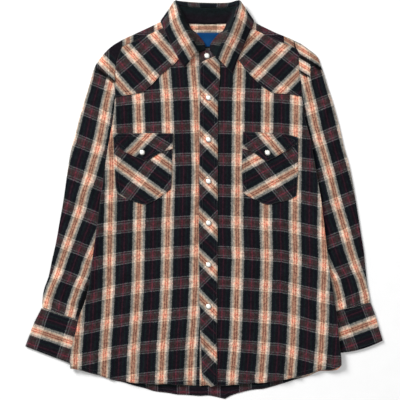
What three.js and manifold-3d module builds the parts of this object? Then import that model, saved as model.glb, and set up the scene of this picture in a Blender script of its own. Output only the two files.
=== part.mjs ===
// A western snap shirt of brushed cotton flannel, laid flat on its back with its fronts snapped shut.
// Millimetres. +Z is up, +Y runs towards the collar and +X towards the right of someone looking down.
// "Left" and "right" are the sides as seen from above, so the wearer's left front is front_right.
// Every flat panel is cut from one shared net of points, so a piece that lies on another follows it.

import * as THREE from "three";
import Module from "manifold-3d";
import { mergeVertices } from "three/addons/utils/BufferGeometryUtils.js";

const wasm = await Module();
wasm.setup();
const { Manifold, Mesh: SolidMesh } = wasm;

// Driving dimensions
const CLOTH = 1.2; // wall of one layer of flannel
const GAP = 0.3; // air between two pieces that touch or are sewn together
const LAYER = CLOTH + GAP; // rise from one layer to the next
const SEAM_GAP = 0.4; // plan gap where a sleeve meets its armhole
const PLACKET_WALL = 1.4;
const COLLAR_WALL = 1.8; // two layers with interlining
const CUFF_WALL = 1.9;
const LABEL_WALL = 1.0;
const CUFF_STACK = 4.6; // both walls of a flat cuff and the air between them
const ARMHOLE_STACK = 2 * LAYER + CLOTH; // back, front and yoke on each other
const SLEEVE_LIFT = 3.4; // the body's margin rides over the sleeve
const CUFF_LIFT = 5.0; // and over the cuff
const NECK_LIFT = 2.5; // the back rests on the collar's hidden side
const NECK_ROOM = 1.6; // room for the label under the fronts
const MARGIN_PLATEAU = 20; // width of the raised margin
const MARGIN_SLOPE = 33; // a net line half way down its slope
const MARGIN_END = 46; // where the body is down on the surface again
const SHOULDER_STRIP = 15; // how far the back yoke comes over to the front
const SNAP_PITCH = 87.5;
const SNAP_TOP = { x: 6.3, y: 302.4 };
const SNAP_SECOND_Y = 214.4;
const SNAP_COUNT_BELOW = 6;
const PLACKET_CENTRE = 9.5;
const LAP_END = 74; // where the overlapping front starts to climb onto the other one
const LAP_SLOPE = 34;
const PEARL_RADIUS = 4.5;
const RING_RADIUS = 6.0;
const SNAP_POST = { radius: 2.2, height: 1.2 }; // the cap's stem, which stands on the cloth

// Side edges of the body from the shoulder tips down to the hem, the armholes above the pit
const PIT = 214.5;
const PIT_RAISED = 200; // the margin has its full lift from here down
const sides = [
  { y: 430, left: -172, right: 190 },
  { y: 336, left: -172, right: 190 },
  { y: 322, left: -172, right: 192 },
  { y: 308, left: -177, right: 200 },
  { y: 294, left: -183, right: 199 },
  { y: 267, left: -187, right: 200 },
  { y: 241, left: -187, right: 205 },
  { y: PIT, left: -186, right: 205.5 },
  { y: PIT_RAISED, left: -187.4, right: 206.5 },
  { y: 172, left: -190, right: 211 },
  { y: 135, left: -197, right: 222 },
  { y: 95, left: -204, right: 229 },
  { y: 50, left: -210, right: 237 },
  { y: 5, left: -217, right: 245 },
  { y: -50, left: -224, right: 252 },
  { y: -95, left: -230, right: 257 },
  { y: -135, left: -236, right: 261 },
  { y: -175, left: -240, right: 268 },
  { y: -210, left: -248, right: 274 },
  { y: -245, left: -262, right: 279 },
  { y: -280, left: -269, right: 282 },
  { y: -310, left: -278, right: 285 },
  { y: -345, left: -282, right: 290 },
  { y: -430, left: -284, right: 291 },
];

// Hems of the fronts and of the longer back, from side to side
const hems = [
  { x: -282, front: -352, back: -352.5 },
  { x: -252, front: -359, back: -359.5 },
  { x: -218, front: -370, back: -370.5 },
  { x: -187, front: -378, back: -379 },
  { x: -147, front: -384, back: -390 },
  { x: -120, front: -385.5, back: -397 },
  { x: -93, front: -386.5, back: -404 },
  { x: -67, front: -387.5, back: -407.5 },
  { x: -40, front: -388.5, back: -409.5 },
  { x: -8, front: -389.5, back: -411.5 },
  { x: 19, front: -390.5, back: -412 },
  { x: 44, front: -389.5, back: -417 },
  { x: 65, front: -388, back: -407.5 },
  { x: 86, front: -386, back: -402 },
  { x: 118, front: -383.5, back: -397 },
  { x: 149, front: -380, back: -391.5 },
  { x: 181, front: -374.5, back: -380.5 },
  { x: 202, front: -369.5, back: -375 },
  { x: 223, front: -363.5, back: -368.5 },
  { x: 244, front: -358, back: -359 },
  { x: 265, front: -356, back: -358.5 },
  { x: 280, front: -353.5, back: -356 },
  { x: 290, front: -345, back: -346 },
];

// Folded top edge of each shoulder, from the collar out to the sleeve
const shoulders = {
  left: [[-57, 387.5], [-89.5, 374.4], [-107, 366.5], [-145, 349], [-172, 336.6]],
  right: [[69, 388.5], [103, 374], [125.5, 363.5], [152, 350.7], [179, 340], [190, 334.6]],
};

// Neck edges: of each front, from the shoulder seam to the centre, and of the back yoke, left to right
const frontNeck = {
  left: [[-54.6, 369.6], [-37.8, 354.9], [-21, 340.2], [-6.3, 321.3], [4.2, 304.5], [16.8, 296.1],
    [29.4, 289.8]],
  right: [[71.4, 370.7], [52.5, 354.9], [35.7, 340.2], [33, 318], [32, 303.4], [16.8, 300], [4.2, 294.4],
    [-8.8, 288.2]],
};
const backNeck = [[-44, 375.9], [-31.5, 370.2], [7.4, 369], [47.3, 370.2], [58.8, 375.9]];
const yokeSeam = [[-188, 258], [8, 222], [206, 258]]; // the back yoke's lower edge, a shallow point

// Lower edges of the pointed front yokes, from under the collar out to the armhole
const yokeEdges = {
  left: [[-16.8, 335], [-29.4, 323.4], [-52.9, 295.7], [-65.1, 282.9], [-93.2, 260.8], [-109.2, 242.1],
    [-128.7, 225.3], [-141.3, 223.2], [-169.5, 219.2], [-186, 216]],
  right: [[33.6, 340.2], [50.4, 323.4], [73.1, 293], [92, 267.5], [122.6, 237.9], [141.8, 225.1],
    [159.6, 223.2], [178.9, 222.5], [205, 217]],
};

// Bias placket, the collar tab above it, and the label
const placketEdges = {
  top: [[-8.4, 287.2], [4.2, 293.4], [16.8, 299], [32, 302]],
  right: [[33.6, 281], [33.4, 252], [29.4, 210], [28.6, -105], [27.3, -315], [29, -388.5]],
  bottom: [[14, -392], [3, -384.5], [-4.6, -370]],
  left: [[-9.5, -210], [-10.9, -63], [-9, 210]],
};
const tabOutline = [[-9.4, 288.6], [4.2, 294.8], [16.8, 300.4], [31.5, 303.6], [31.5, 315], [16.8, 316],
  [6.3, 315], [-3, 313.4], [-8.4, 309.5], [-9.9, 304]];
const TAB_UNDER = 4.8;
const label = { left: -15, right: 31, top: 351, bottom: 322 };

// Pointed patch pockets and their flaps
const pockets = {
  left: {
    body: [[-190, 139.5], [-65.5, 139.5], [-67.6, 47], [-69, 23.5], [-90, 8], [-104, -2], [-119, -9],
      [-129, -9.5], [-148, -3], [-165, 3.5], [-180.5, 12], [-185.4, 29], [-188.6, 88]],
    flap: [[-190.8, 140], [-64.8, 140], [-65.4, 108], [-90, 100], [-108.4, 89], [-116.8, 83.4],
      [-126, 81.5], [-144.7, 90.7], [-170.3, 103], [-189.4, 119.5]],
    snap: { x: -129.8, y: 100 },
  },
  right: {
    body: [[82.5, 142.8], [170, 138.6], [198, 130.8], [197, 50.6], [195, 18.5], [193.8, 7.8], [172.4, -2],
      [151, -6.3], [137, -10.5], [123, -7.4], [113.4, -2], [91, 8.8], [82.5, 15], [80.2, 40], [79.2, 72]],
    flap: [[82, 143.4], [170, 139.2], [198.4, 131.2], [197.4, 121], [177, 104.2], [166, 100], [151, 90.3],
      [132.7, 80.6], [123.3, 84.8], [110.3, 95.6], [100.6, 101.5], [80.4, 108.5]],
    snap: { x: 133.4, y: 99.3 },
  },
};

// Sleeves: each row is one section from the outer edge to the edge that the body hides
const sleeves = {
  left: [
    { ox: -187.3, oy: 327.6, ix: -188.6, iy: 210.5, stack: 4.2 },
    { ox: -200.8, oy: 317, ix: -189.2, iy: 205.5, stack: 4.2 },
    { ox: -216.7, oy: 299.5, ix: -188.8, iy: 200.2, stack: 3.2 },
    { ox: -226.2, oy: 286, ix: -187, iy: 192, stack: 3.0 },
    { ox: -233, oy: 270, ix: -184, iy: 182, stack: 3.0 },
    { ox: -238.4, oy: 252, ix: -181, iy: 170, stack: 3.0 },
    { ox: -243.6, oy: 232.5, ix: -180, iy: 156, stack: 3.0 },
    { ox: -257, oy: 189.6, ix: -182, iy: 130, stack: 3.0 },
    { ox: -270.3, oy: 138.6, ix: -187, iy: 95, stack: 3.0 },
    { ox: -279.7, oy: 104, ix: -191, iy: 65, stack: 3.0 },
    { ox: -286.4, oy: 63.8, ix: -196, iy: 33, stack: 3.0 },
    { ox: -295.3, oy: 0, ix: -205, iy: -22, stack: 3.0 },
    { ox: -302.4, oy: -40, ix: -210, iy: -62, stack: 3.0 },
    { ox: -310.8, oy: -88, ix: -216, iy: -107, stack: 3.0 },
    { ox: -319.8, oy: -128, ix: -222, iy: -144, stack: 3.0 },
    { ox: -326.6, oy: -160.7, ix: -227, iy: -178, stack: 3.0 },
    { ox: -336, oy: -187.5, ix: -236, iy: -214, stack: 3.0 },
    { ox: -339.8, oy: -211.7, ix: -247, iy: -243, stack: 3.4 },
    { ox: -340.2, oy: -225, ix: -251, iy: -256.6, stack: 4.2 },
  ],
  right: [
    { ox: 203.3, oy: 328.6, ix: 207.8, iy: 210, stack: 4.2 },
    { ox: 222, oy: 315, ix: 208.4, iy: 205.5, stack: 4.2 },
    { ox: 237.9, oy: 301.4, ix: 208.8, iy: 200.2, stack: 3.2 },
    { ox: 245.7, oy: 281.4, ix: 206.5, iy: 191, stack: 3.0 },
    { ox: 253, oy: 260.4, ix: 203.5, iy: 181, stack: 3.0 },
    { ox: 259.6, oy: 237.9, ix: 201, iy: 167, stack: 3.0 },
    { ox: 270.3, oy: 205.8, ix: 202.5, iy: 148, stack: 3.0 },
    { ox: 283.5, oy: 157.5, ix: 208, iy: 117, stack: 3.0 },
    { ox: 294, oy: 111.3, ix: 214, iy: 80, stack: 3.0 },
    { ox: 303.7, oy: 77.7, ix: 220, iy: 46, stack: 3.0 },
    { ox: 312.9, oy: 33.6, ix: 227, iy: 10, stack: 3.0 },
    { ox: 325.1, oy: -40, ix: 236, iy: -58, stack: 3.0 },
    { ox: 330.5, oy: -75.6, ix: 240.5, iy: -92, stack: 3.0 },
    { ox: 335.8, oy: -107, ix: 244.5, iy: -122, stack: 3.0 },
    { ox: 339.8, oy: -147, ix: 251, iy: -160, stack: 3.0 },
    { ox: 343.8, oy: -178.5, ix: 257.5, iy: -190, stack: 3.0 },
    { ox: 348, oy: -203, ix: 261, iy: -219, stack: 3.4 },
    { ox: 349.4, oy: -214.6, ix: 262, iy: -237, stack: 4.2 },
  ],
};

// Cuffs, in sections from the sleeve's end to the wrist
const cuffs = {
  left: [
    { ox: -340.8, oy: -226.4, ix: -251.6, iy: -258.2 },
    { ox: -349, oy: -242, ix: -256.5, iy: -279 },
    { ox: -357, oy: -258, ix: -262, iy: -302 },
    { ox: -366.5, oy: -283, ix: -266.5, iy: -326 },
    { ox: -375.4, oy: -307.4, ix: -271, iy: -347 },
  ],
  right: [
    { ox: 350.2, oy: -216, ix: 262.3, iy: -238.6 },
    { ox: 360.6, oy: -244.4, ix: 266, iy: -262 },
    { ox: 367.9, oy: -270.3, ix: 269, iy: -288 },
    { ox: 375.6, oy: -295, ix: 272, iy: -321 },
  ],
};
const CUFF_BOW = { left: 0, right: 7 }; // how far the wrist edge bows down in its middle

// Largest soft folds: ridges from one end to the other, with their height and half width
const bodyFolds = [
  { x0: -232, y0: -352, x1: -212, y1: -120, height: 2.6, width: 20 },
  { x0: -150, y0: -384, x1: -158, y1: -150, height: 2.8, width: 26 },
  { x0: -70, y0: -388, x1: -84, y1: -190, height: 2.2, width: 24 },
  { x0: 84, y0: -386, x1: 76, y1: -170, height: 2.4, width: 26 },
  { x0: 160, y0: -378, x1: 150, y1: -90, height: 3.0, width: 28 },
  { x0: 236, y0: -358, x1: 218, y1: -140, height: 2.8, width: 22 },
  { x0: -160, y0: -30, x1: -60, y1: -120, height: 2.2, width: 24 },
  { x0: 190, y0: -20, x1: 80, y1: -110, height: 2.2, width: 24 },
  { x0: -120, y0: 200, x1: -50, y1: 168, height: 2.0, width: 20 },
  { x0: 140, y0: 196, x1: 66, y1: 172, height: 2.0, width: 20 },
];
const sleeveFolds = [
  { x0: -228, y0: 279, x1: -192, y1: 257, height: 6.5, width: 13 },
  { x0: 232, y0: 283, x1: 212, y1: 272, height: 6.0, width: 12 },
  { x0: 224, y0: 262, x1: 216, y1: 232, height: 3.2, width: 9 },
  { x0: -258, y0: 120, x1: -222, y1: 60, height: 2.6, width: 14 },
  { x0: -286, y0: -10, x1: -236, y1: 30, height: 2.8, width: 14 },
  { x0: -306, y0: -110, x1: -262, y1: -60, height: 2.2, width: 15 },
  { x0: -322, y0: -200, x1: -290, y1: -130, height: 2.6, width: 12 },
  { x0: -286, y0: -232, x1: -262, y1: -170, height: 2.6, width: 11 },
  { x0: 276, y0: 140, x1: 252, y1: 70, height: 2.6, width: 14 },
  { x0: 316, y0: -20, x1: 272, y1: 20, height: 2.8, width: 14 },
  { x0: 326, y0: -120, x1: 284, y1: -70, height: 2.2, width: 15 },
  { x0: 334, y0: -196, x1: 312, y1: -130, height: 2.6, width: 12 },
  { x0: 296, y0: -222, x1: 284, y1: -160, height: 2.6, width: 11 },
];

// Collar stations from the left point round the back to the right point. Each names the fold, the neck
// seam, the outer turn of the fold, how far down the leaf its middle lies and how high, and its free edge
const collar = [
  [[-11.8, 310.8, 11], [3.5, 313.6, 6.2], [-14.6, 309.4, 11], 0.5, 9.0, [-41, 277.2, 5.3]],
  [[-21.4, 327.8, 17], [0.5, 329.5, 5.6], [-24.6, 326.4, 16.6], 0.5, 12.4, [-53.1, 295.3, 7.0]],
  [[-34.4, 351.3, 21], [-14.7, 348.6, 5.0], [-38, 349.6, 20.4], 0.5, 15, [-67.6, 323.4, 7.2]],
  [[-47.3, 377.2, 21], [-27, 358.6, 4.8], [-51, 376, 20.4], 0.5, 16, [-79.8, 349.7, 8.3]],
  [[-55, 403, 18], [-31.5, 370.6, 4.6], [-58.8, 405, 16.6], 0.5, 14.6, [-88.6, 367, 8.6]],
  [[-56.4, 409.5, 15.4], [-31, 371, 4.5], [-61, 414.6, 12.6], 0.5, 11, [-90.5, 374.5, 6.8]],
  [[-54, 411.6, 13.8], [-30, 371.2, 4.5], [-60, 417.2, 10.6], 0.4, 5, [-89.5, 375, 1.6]],
  [[-50, 411, 12.6], [-28, 371.4, 4.4], [-55.6, 416.4, 8.6], 0.3, 2.0, [-84, 364, 0.95]],
  [[-33.6, 409.4, 11], [-14.7, 371.2, 4.3], [-34, 414.6, 7.6], 0.22, 1.5, [-37.8, 361.6, 1.0]],
  [[6.3, 407.6, 10.6], [7.4, 370.2, 4.3], [6.3, 412.4, 7.2], 0.22, 1.5, [6.3, 361, 1.0]],
  [[48.3, 408, 11], [29.4, 371.2, 4.3], [49, 412.6, 7.6], 0.22, 1.5, [52.5, 361.6, 1.0]],
  [[63, 411, 12.6], [43, 371.4, 4.4], [68.4, 416.6, 8.6], 0.3, 2.0, [97, 364, 0.95]],
  [[68, 411.6, 13.8], [45.5, 371.2, 4.5], [74, 417.2, 10.6], 0.4, 5, [103.4, 375.4, 1.6]],
  [[70.4, 409.5, 15.4], [46.5, 371, 4.5], [75.4, 414.6, 12.6], 0.5, 11, [104.4, 374.8, 6.8]],
  [[69.4, 397, 18], [47.4, 370.6, 4.6], [73.4, 398.6, 16.6], 0.5, 14.6, [102.6, 366, 8.6]],
  [[58, 366.5, 21], [40.4, 355.4, 4.8], [61.8, 365.4, 20.4], 0.5, 16, [93.5, 346.5, 8.3]],
  [[49.6, 345, 21], [28.8, 346.5, 5.0], [53.4, 344, 20.4], 0.5, 15, [86.1, 328.9, 7.4]],
  [[38.6, 323.6, 18], [14, 327.5, 6.0], [42.2, 322.6, 17.4], 0.5, 13, [73.1, 299.3, 7.2]],
  [[27.9, 296.5, 12.4], [12, 313.6, 6.6], [31, 294.6, 12.2], 0.5, 10, [60.3, 265.2, 5.4]],
];

// Helpers on tables and curves
const clamp01 = (value) => Math.min(1, Math.max(0, value));
const mix = (a, b, t) => a + (b - a) * t;
const ease = (value) => {
  const t = clamp01(value);
  return t * t * (3 - 2 * t);
};

function along(rows, key, at, column) {
  const rising = rows[0][key] < rows[rows.length - 1][key];
  let i = 1;
  while (i < rows.length - 1 && (rising ? rows[i][key] < at : rows[i][key] > at)) {
    i += 1;
  }
  const t = clamp01((at - rows[i - 1][key]) / (rows[i][key] - rows[i - 1][key]));
  return mix(rows[i - 1][column], rows[i][column], t);
}

const leftEdge = (y) => along(sides, "y", y, "left");
const rightEdge = (y) => along(sides, "y", y, "right");

function foldHeight(folds, x, y) {
  let height = 0;
  for (const fold of folds) {
    const dx = fold.x1 - fold.x0;
    const dy = fold.y1 - fold.y0;
    const t = ((x - fold.x0) * dx + (y - fold.y0) * dy) / (dx * dx + dy * dy);
    const near = clamp01(t);
    const away = Math.hypot(x - fold.x0 - near * dx, y - fold.y0 - near * dy) / fold.width;
    height += fold.height * Math.exp(-away * away * 1.6) * (1 - 0.5 * near);
  }
  return height;
}

// How high the cloth is at a place on the body
const CUFF_START = -190; // level where the margin starts to climb from the sleeve to the cuff
const CUFF_CLIMB = 40;
const NECK_MIDDLE = 7;
const NECK_START = 336; // level where the collar's hidden side begins to lift the back
const PUFF_MOST = 3.4;
const SNAP_FLAT = 16; // the cloth lies flat this far round a pocket's snap

function marginLift(x, y) {
  const inside = Math.min(x - leftEdge(y), rightEdge(y) - x);
  const full = mix(SLEEVE_LIFT, CUFF_LIFT, ease((CUFF_START - y) / CUFF_CLIMB));
  const down = clamp01((PIT - y) / (PIT - PIT_RAISED));
  return full * down * ease((MARGIN_END - inside) / (MARGIN_END - MARGIN_PLATEAU));
}

function neckLift(x, y) {
  const across = ease((118 - Math.abs(x - NECK_MIDDLE)) / 14);
  return NECK_LIFT * across * ease((y - NECK_START) / 16);
}

const ground = (x, y) => marginLift(x, y) + neckLift(x, y);

function puff(x, y) {
  const inside = Math.min(x - leftEdge(y), rightEdge(y) - x);
  const fromPlacket = Math.abs(x - PLACKET_CENTRE) - 34;
  let room = ease((inside - MARGIN_PLATEAU) / 40) * ease(fromPlacket / 30);
  for (const { snap } of Object.values(pockets)) {
    room *= ease((Math.hypot(x - snap.x, y - snap.y) - SNAP_FLAT) / 24);
  }
  const neck = NECK_ROOM * ease((74 - Math.abs(x - 8)) / 24) * ease((y - 262) / 30);
  return Math.min(PUFF_MOST, room * (0.6 + foldHeight(bodyFolds, x, y))) * (1 - neck / NECK_ROOM) + neck;
}

const overlapRise = (x) => LAYER * ease((LAP_END - x) / LAP_SLOPE); // front_right climbs onto front_left

// The shared net: rows from the hem to the collar, columns from side to side
const NET_BORDER = 12; // it runs this far past the sides
const CENTRE_COLUMNS = [-26, -11, PLACKET_CENTRE, 34, 54, LAP_END];
const spread = (from, to, count) => Array.from({ length: count }, (_, i) => mix(from, to, i / count));
const netRows = [
  ...spread(-424, -190, 9), ...spread(-190, PIT_RAISED, 15), PIT_RAISED, PIT,
  ...spread(240, 336, 4), 336, 352, 374, 398,
];

function netColumns(y) {
  const left = leftEdge(y);
  const right = rightEdge(y);
  return [
    left - NET_BORDER, left, left + MARGIN_PLATEAU, left + MARGIN_SLOPE,
    ...spread(left + MARGIN_END, CENTRE_COLUMNS[0], 5), ...CENTRE_COLUMNS,
    ...spread(88, right - MARGIN_END, 4), right - MARGIN_END,
    right - MARGIN_SLOPE, right - MARGIN_PLATEAU, right, right + NET_BORDER,
  ];
}

const net = netRows.map((y) => netColumns(y).map((x) => ({ x, y })));
const ROWS = net.length;
const COLUMNS = net[0].length;

function solidFrom(positions, triangles) {
  let geometry = new THREE.BufferGeometry();
  geometry.setAttribute("position", new THREE.Float32BufferAttribute(positions.flat(), 3));
  geometry.setIndex(triangles.flat());
  geometry = mergeVertices(geometry, 1e-4);
  return solidOf(geometry);
}

function solidOf(source) {
  const geometry = source.clone();
  geometry.deleteAttribute("normal");
  geometry.deleteAttribute("uv");
  const merged = mergeVertices(geometry, 1e-4);
  const mesh = new SolidMesh({
    numProp: 3,
    vertProperties: Float32Array.from(merged.attributes.position.array),
    triVerts: Uint32Array.from(merged.index.array),
  });
  return new Manifold(mesh);
}

// A closed wall between two like grids of points, the first one above the second
function wallBetween(upper, lower) {
  const rows = upper.length;
  const columns = upper[0].length;
  const positions = [...upper.flat(), ...lower.flat()];
  const top = (r, c) => r * columns + c;
  const low = (r, c) => rows * columns + top(r, c);
  const triangles = [];
  const quad = (a, b, c, d) => triangles.push([a, b, c], [a, c, d]);
  for (let r = 0; r < rows - 1; r += 1) {
    for (let c = 0; c < columns - 1; c += 1) {
      quad(top(r, c), top(r, c + 1), top(r + 1, c + 1), top(r + 1, c));
      triangles.push([low(r, c), low(r + 1, c + 1), low(r, c + 1)]);
      triangles.push([low(r, c), low(r + 1, c), low(r + 1, c + 1)]);
    }
    quad(top(r, 0), top(r + 1, 0), low(r + 1, 0), low(r, 0));
    quad(top(r + 1, columns - 1), top(r, columns - 1), low(r, columns - 1), low(r + 1, columns - 1));
  }
  for (let c = 0; c < columns - 1; c += 1) {
    quad(top(0, c + 1), top(0, c), low(0, c), low(0, c + 1));
    quad(top(rows - 1, c), top(rows - 1, c + 1), low(rows - 1, c + 1), low(rows - 1, c));
  }
  return solidFrom(positions, triangles);
}

// One layer of cloth over the whole net, its underside given by a function of the place
function layer(underside, wall) {
  const lower = net.map((row) => row.map(({ x, y }) => [x, y, underside(x, y)]));
  const upper = lower.map((row) => row.map(([x, y, z]) => [x, y, z + wall]));
  return wallBetween(upper, lower);
}

function prism(outline, bottom = -10, height = 60) {
  const shape = new THREE.Shape(outline.map(([x, y]) => new THREE.Vector2(x, y)));
  const geometry = new THREE.ExtrudeGeometry(shape, { depth: height, bevelEnabled: false });
  geometry.translate(0, 0, bottom);
  return solidOf(geometry);
}

const cutPiece = (slab, outline) => slab.intersect(prism(outline)).simplify(0.002);

const parts = new THREE.Group();

function finish(name, solid, { colour, roughness = 0.9, metalness = 0 }) {
  const mesh = solid.getMesh();
  const geometry = new THREE.BufferGeometry();
  geometry.setAttribute("position", new THREE.BufferAttribute(Float32Array.from(mesh.vertProperties), 3));
  geometry.setIndex(Array.from(mesh.triVerts));
  geometry.computeVertexNormals();
  const material = new THREE.MeshStandardMaterial({ color: colour, roughness, metalness });
  const piece = new THREE.Mesh(geometry, material);
  piece.name = name;
  parts.add(piece);
}

const FLANNEL = { colour: 0x2a2628, roughness: 0.95 };
const FLANNEL_LIGHT = { colour: 0x7a5a4c, roughness: 0.95 };
const LABEL_BLUE = { colour: 0x0b4f94, roughness: 0.7 };
const PEARL = { colour: 0xf5f1e6, roughness: 0.2 };
const STEEL = { colour: 0xb9b6ae, roughness: 0.35, metalness: 0.9 };

// Outlines
const between = (rows, key, low, high) => rows.filter((row) => row[key] > low && row[key] < high);

function hemLine(column, fromX, toX) {
  const inner = between(hems, "x", Math.min(fromX, toX), Math.max(fromX, toX))
    .map((row) => [row.x, row[column]]);
  if (fromX > toX) {
    inner.reverse();
  }
  return [[fromX, along(hems, "x", fromX, column)], ...inner, [toX, along(hems, "x", toX, column)]];
}

function sideLine(side, fromY, toY) {
  const inner = between(sides, "y", Math.min(fromY, toY), Math.max(fromY, toY))
    .map((row) => [row[side], row.y]);
  if (fromY < toY) {
    inner.reverse();
  }
  return [[along(sides, "y", fromY, side), fromY], ...inner, [along(sides, "y", toY, side), toY]];
}

const lowered = (points, by) => points.map(([x, y]) => [x, y - by]);
const HEM_CORNER = { left: -345, right: -341 };
const SHOULDER_TIP = { left: 321.5, right: 319.5 };

// Back and back yoke
function yokeSeamAt(x) {
  const rows = yokeSeam.map(([px, py]) => ({ x: px, y: py }));
  return along(rows, "x", x, "y");
}

function buildBack() {
  const outline = [
    ...hemLine("back", -280, 288), ...sideLine("right", HEM_CORNER.right, 257),
    [8, yokeSeamAt(8) - GAP], ...sideLine("left", 257, HEM_CORNER.left),
  ];
  finish("back", cutPiece(layer(ground, CLOTH), outline), FLANNEL);
}

// The shoulder strip turns over the folded top edge and lies on the fronts
const STRIP_TOP = 2 * LAYER + CLOTH;
const STRIP_SINK = 0.12; // its lower leg runs inside the flat part of the yoke
const STRIP_LEG = 9; // and ends this far below the folded edge
const FOLD_SINK = 0.2;

// The folded edge with a point on every column of the net
function shoulderLine(side) {
  const rows = shoulders[side].map(([x, y]) => ({ x, y }));
  const [inner, outer] = [rows[0].x, rows[rows.length - 1].x];
  const [low, high] = [Math.min(inner, outer) + 2, Math.max(inner, outer) - 2];
  const columns = netColumns(360).filter((x) => x > low && x < high);
  const stations = [inner, ...(side === "left" ? columns.reverse() : columns), outer];
  return stations.map((x) => [x, along(rows, "x", x, "y")]);
}

const shoulderLines = { left: shoulderLine("left"), right: shoulderLine("right") };

function shoulderTurn(side) {
  const line = [...shoulderLines[side]].sort((a, b) => a[0] - b[0]);
  const inward = (depth, z) => line.map(([x, y]) => [x, y - depth, z + neckLift(x, 398)]);
  const middle = STRIP_TOP / 2;
  const turn = (radius) => [-0.5, 0, 0.5].map((part) => {
    const angle = part * Math.PI / 2;
    return inward(middle - radius * Math.cos(angle), middle + radius * Math.sin(angle));
  });
  const outer = [
    inward(STRIP_LEG, 4 * STRIP_SINK), inward(middle, STRIP_SINK), ...turn(middle),
    inward(middle, STRIP_TOP), inward(SHOULDER_STRIP, STRIP_TOP),
  ];
  const inner = [
    inward(STRIP_LEG, CLOTH - 3 * STRIP_SINK), inward(middle, CLOTH - STRIP_SINK), ...turn(middle - CLOTH),
    inward(middle, STRIP_TOP - CLOTH), inward(SHOULDER_STRIP, STRIP_TOP - CLOTH),
  ];
  return wallBetween(inner, outer);
}

function buildBackYoke() {
  const foldInset = STRIP_TOP / 2;
  const outline = [
    ...sideLine("left", 330, 258), [8, yokeSeamAt(8)],
    ...sideLine("right", 258, 330), ...lowered(shoulderLines.right, foldInset + FOLD_SINK).reverse(),
    ...[...backNeck].reverse(), ...lowered(shoulderLines.left, foldInset + FOLD_SINK),
  ];
  const flat = cutPiece(layer(ground, CLOTH), outline);
  finish("back_yoke", flat.add(shoulderTurn("left")).add(shoulderTurn("right")), FLANNEL_LIGHT);
}

// Fronts, the right one climbing over the left one at the centre
const frontUnder = (x, y) => ground(x, y) + LAYER + puff(x, y);
const rightFrontUnder = (x, y) => frontUnder(x, y) + overlapRise(x);

function buildFronts() {
  const seamLeft = lowered(shoulderLines.left, SHOULDER_STRIP + GAP);
  const seamRight = lowered(shoulderLines.right, SHOULDER_STRIP + GAP);
  const leftOutline = [
    ...hemLine("front", -280, 29.4), ...[...frontNeck.left].reverse(),
    ...seamLeft.slice(1), ...sideLine("left", SHOULDER_TIP.left - 2, HEM_CORNER.left),
  ];
  const rightOutline = [
    ...hemLine("front", -9, 288), ...sideLine("right", HEM_CORNER.right, SHOULDER_TIP.right - 2),
    ...[...seamRight].reverse().slice(0, -1), ...frontNeck.right,
  ];
  finish("front_left", cutPiece(layer(frontUnder, CLOTH), leftOutline), FLANNEL);
  finish("front_right", cutPiece(layer(rightFrontUnder, CLOTH), rightOutline), FLANNEL);
}

function buildFrontYokes() {
  const seamLeft = lowered(shoulderLines.left, SHOULDER_STRIP + GAP);
  const seamRight = lowered(shoulderLines.right, SHOULDER_STRIP + GAP);
  const leftOutline = [
    ...frontNeck.left.slice(1, 3).reverse(), [-54.6, 369.6], ...seamLeft.slice(1),
    ...sideLine("left", SHOULDER_TIP.left - 2, 217), ...[...yokeEdges.left].reverse(),
  ];
  const rightOutline = [
    ...yokeEdges.right, ...sideLine("right", 218, SHOULDER_TIP.right - 2),
    ...[...seamRight].reverse().slice(0, -1), [71.4, 370.7], ...frontNeck.right.slice(1, 3),
  ];
  const onLeft = layer((x, y) => frontUnder(x, y) + LAYER, CLOTH);
  const onRight = layer((x, y) => rightFrontUnder(x, y) + LAYER, CLOTH);
  finish("front_yoke_left", cutPiece(onLeft, leftOutline), FLANNEL_LIGHT);
  finish("front_yoke_right", cutPiece(onRight, rightOutline), FLANNEL_LIGHT);
}

function buildPlacket() {
  const { top, right, bottom, left } = placketEdges;
  const band = layer((x, y) => rightFrontUnder(x, y) + LAYER, PLACKET_WALL);
  finish("placket", cutPiece(band, [...top, ...right, ...bottom, ...left]), FLANNEL_LIGHT);
}

function buildPockets() {
  for (const [side, { body, flap }] of Object.entries(pockets)) {
    const base = side === "left" ? frontUnder : rightFrontUnder;
    const lower = layer((x, y) => base(x, y) + LAYER, CLOTH);
    const upper = layer((x, y) => base(x, y) + 2 * LAYER, CLOTH);
    finish(`pocket_${side}`, cutPiece(lower, body), FLANNEL_LIGHT);
    finish(`pocket_flap_${side}`, cutPiece(upper, flap), FLANNEL);
  }
}

function buildLabel() {
  const { left, right, top, bottom } = label;
  const outline = [[left, bottom], [right, bottom], [right, top], [left, top]];
  finish("neck_label", cutPiece(layer((x, y) => ground(x, y) + LAYER, LABEL_WALL), outline), LABEL_BLUE);
}

// Sleeves and cuffs: flat tubes of rings
const ACROSS = [0, 0.03, 0.17, 0.33, 0.5, 0.67, 0.83, 0.97, 1];

function ringLoops(points, heights, wall) {
  const last = points.length - 1;
  const stack = heights[0];
  const side = (from, to, by) => {
    const length = Math.hypot(to[0] - from[0], to[1] - from[1]);
    return [from[0] + (to[0] - from[0]) / length * by, from[1] + (to[1] - from[1]) / length * by];
  };
  const outer = [[...points[0], stack / 2]];
  const inner = [[...side(points[0], points[1], wall), stack / 2]];
  for (let i = 1; i < last; i += 1) {
    outer.push([...points[i], heights[i]]);
    inner.push([...points[i], heights[i] - wall]);
  }
  outer.push([...points[last], heights[last] / 2]);
  inner.push([...side(points[last], points[last - 1], wall), heights[last] / 2]);
  for (let i = last - 1; i > 0; i -= 1) {
    outer.push([...points[i], 0]);
    inner.push([...points[i], wall]);
  }
  return { outer, inner };
}

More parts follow.
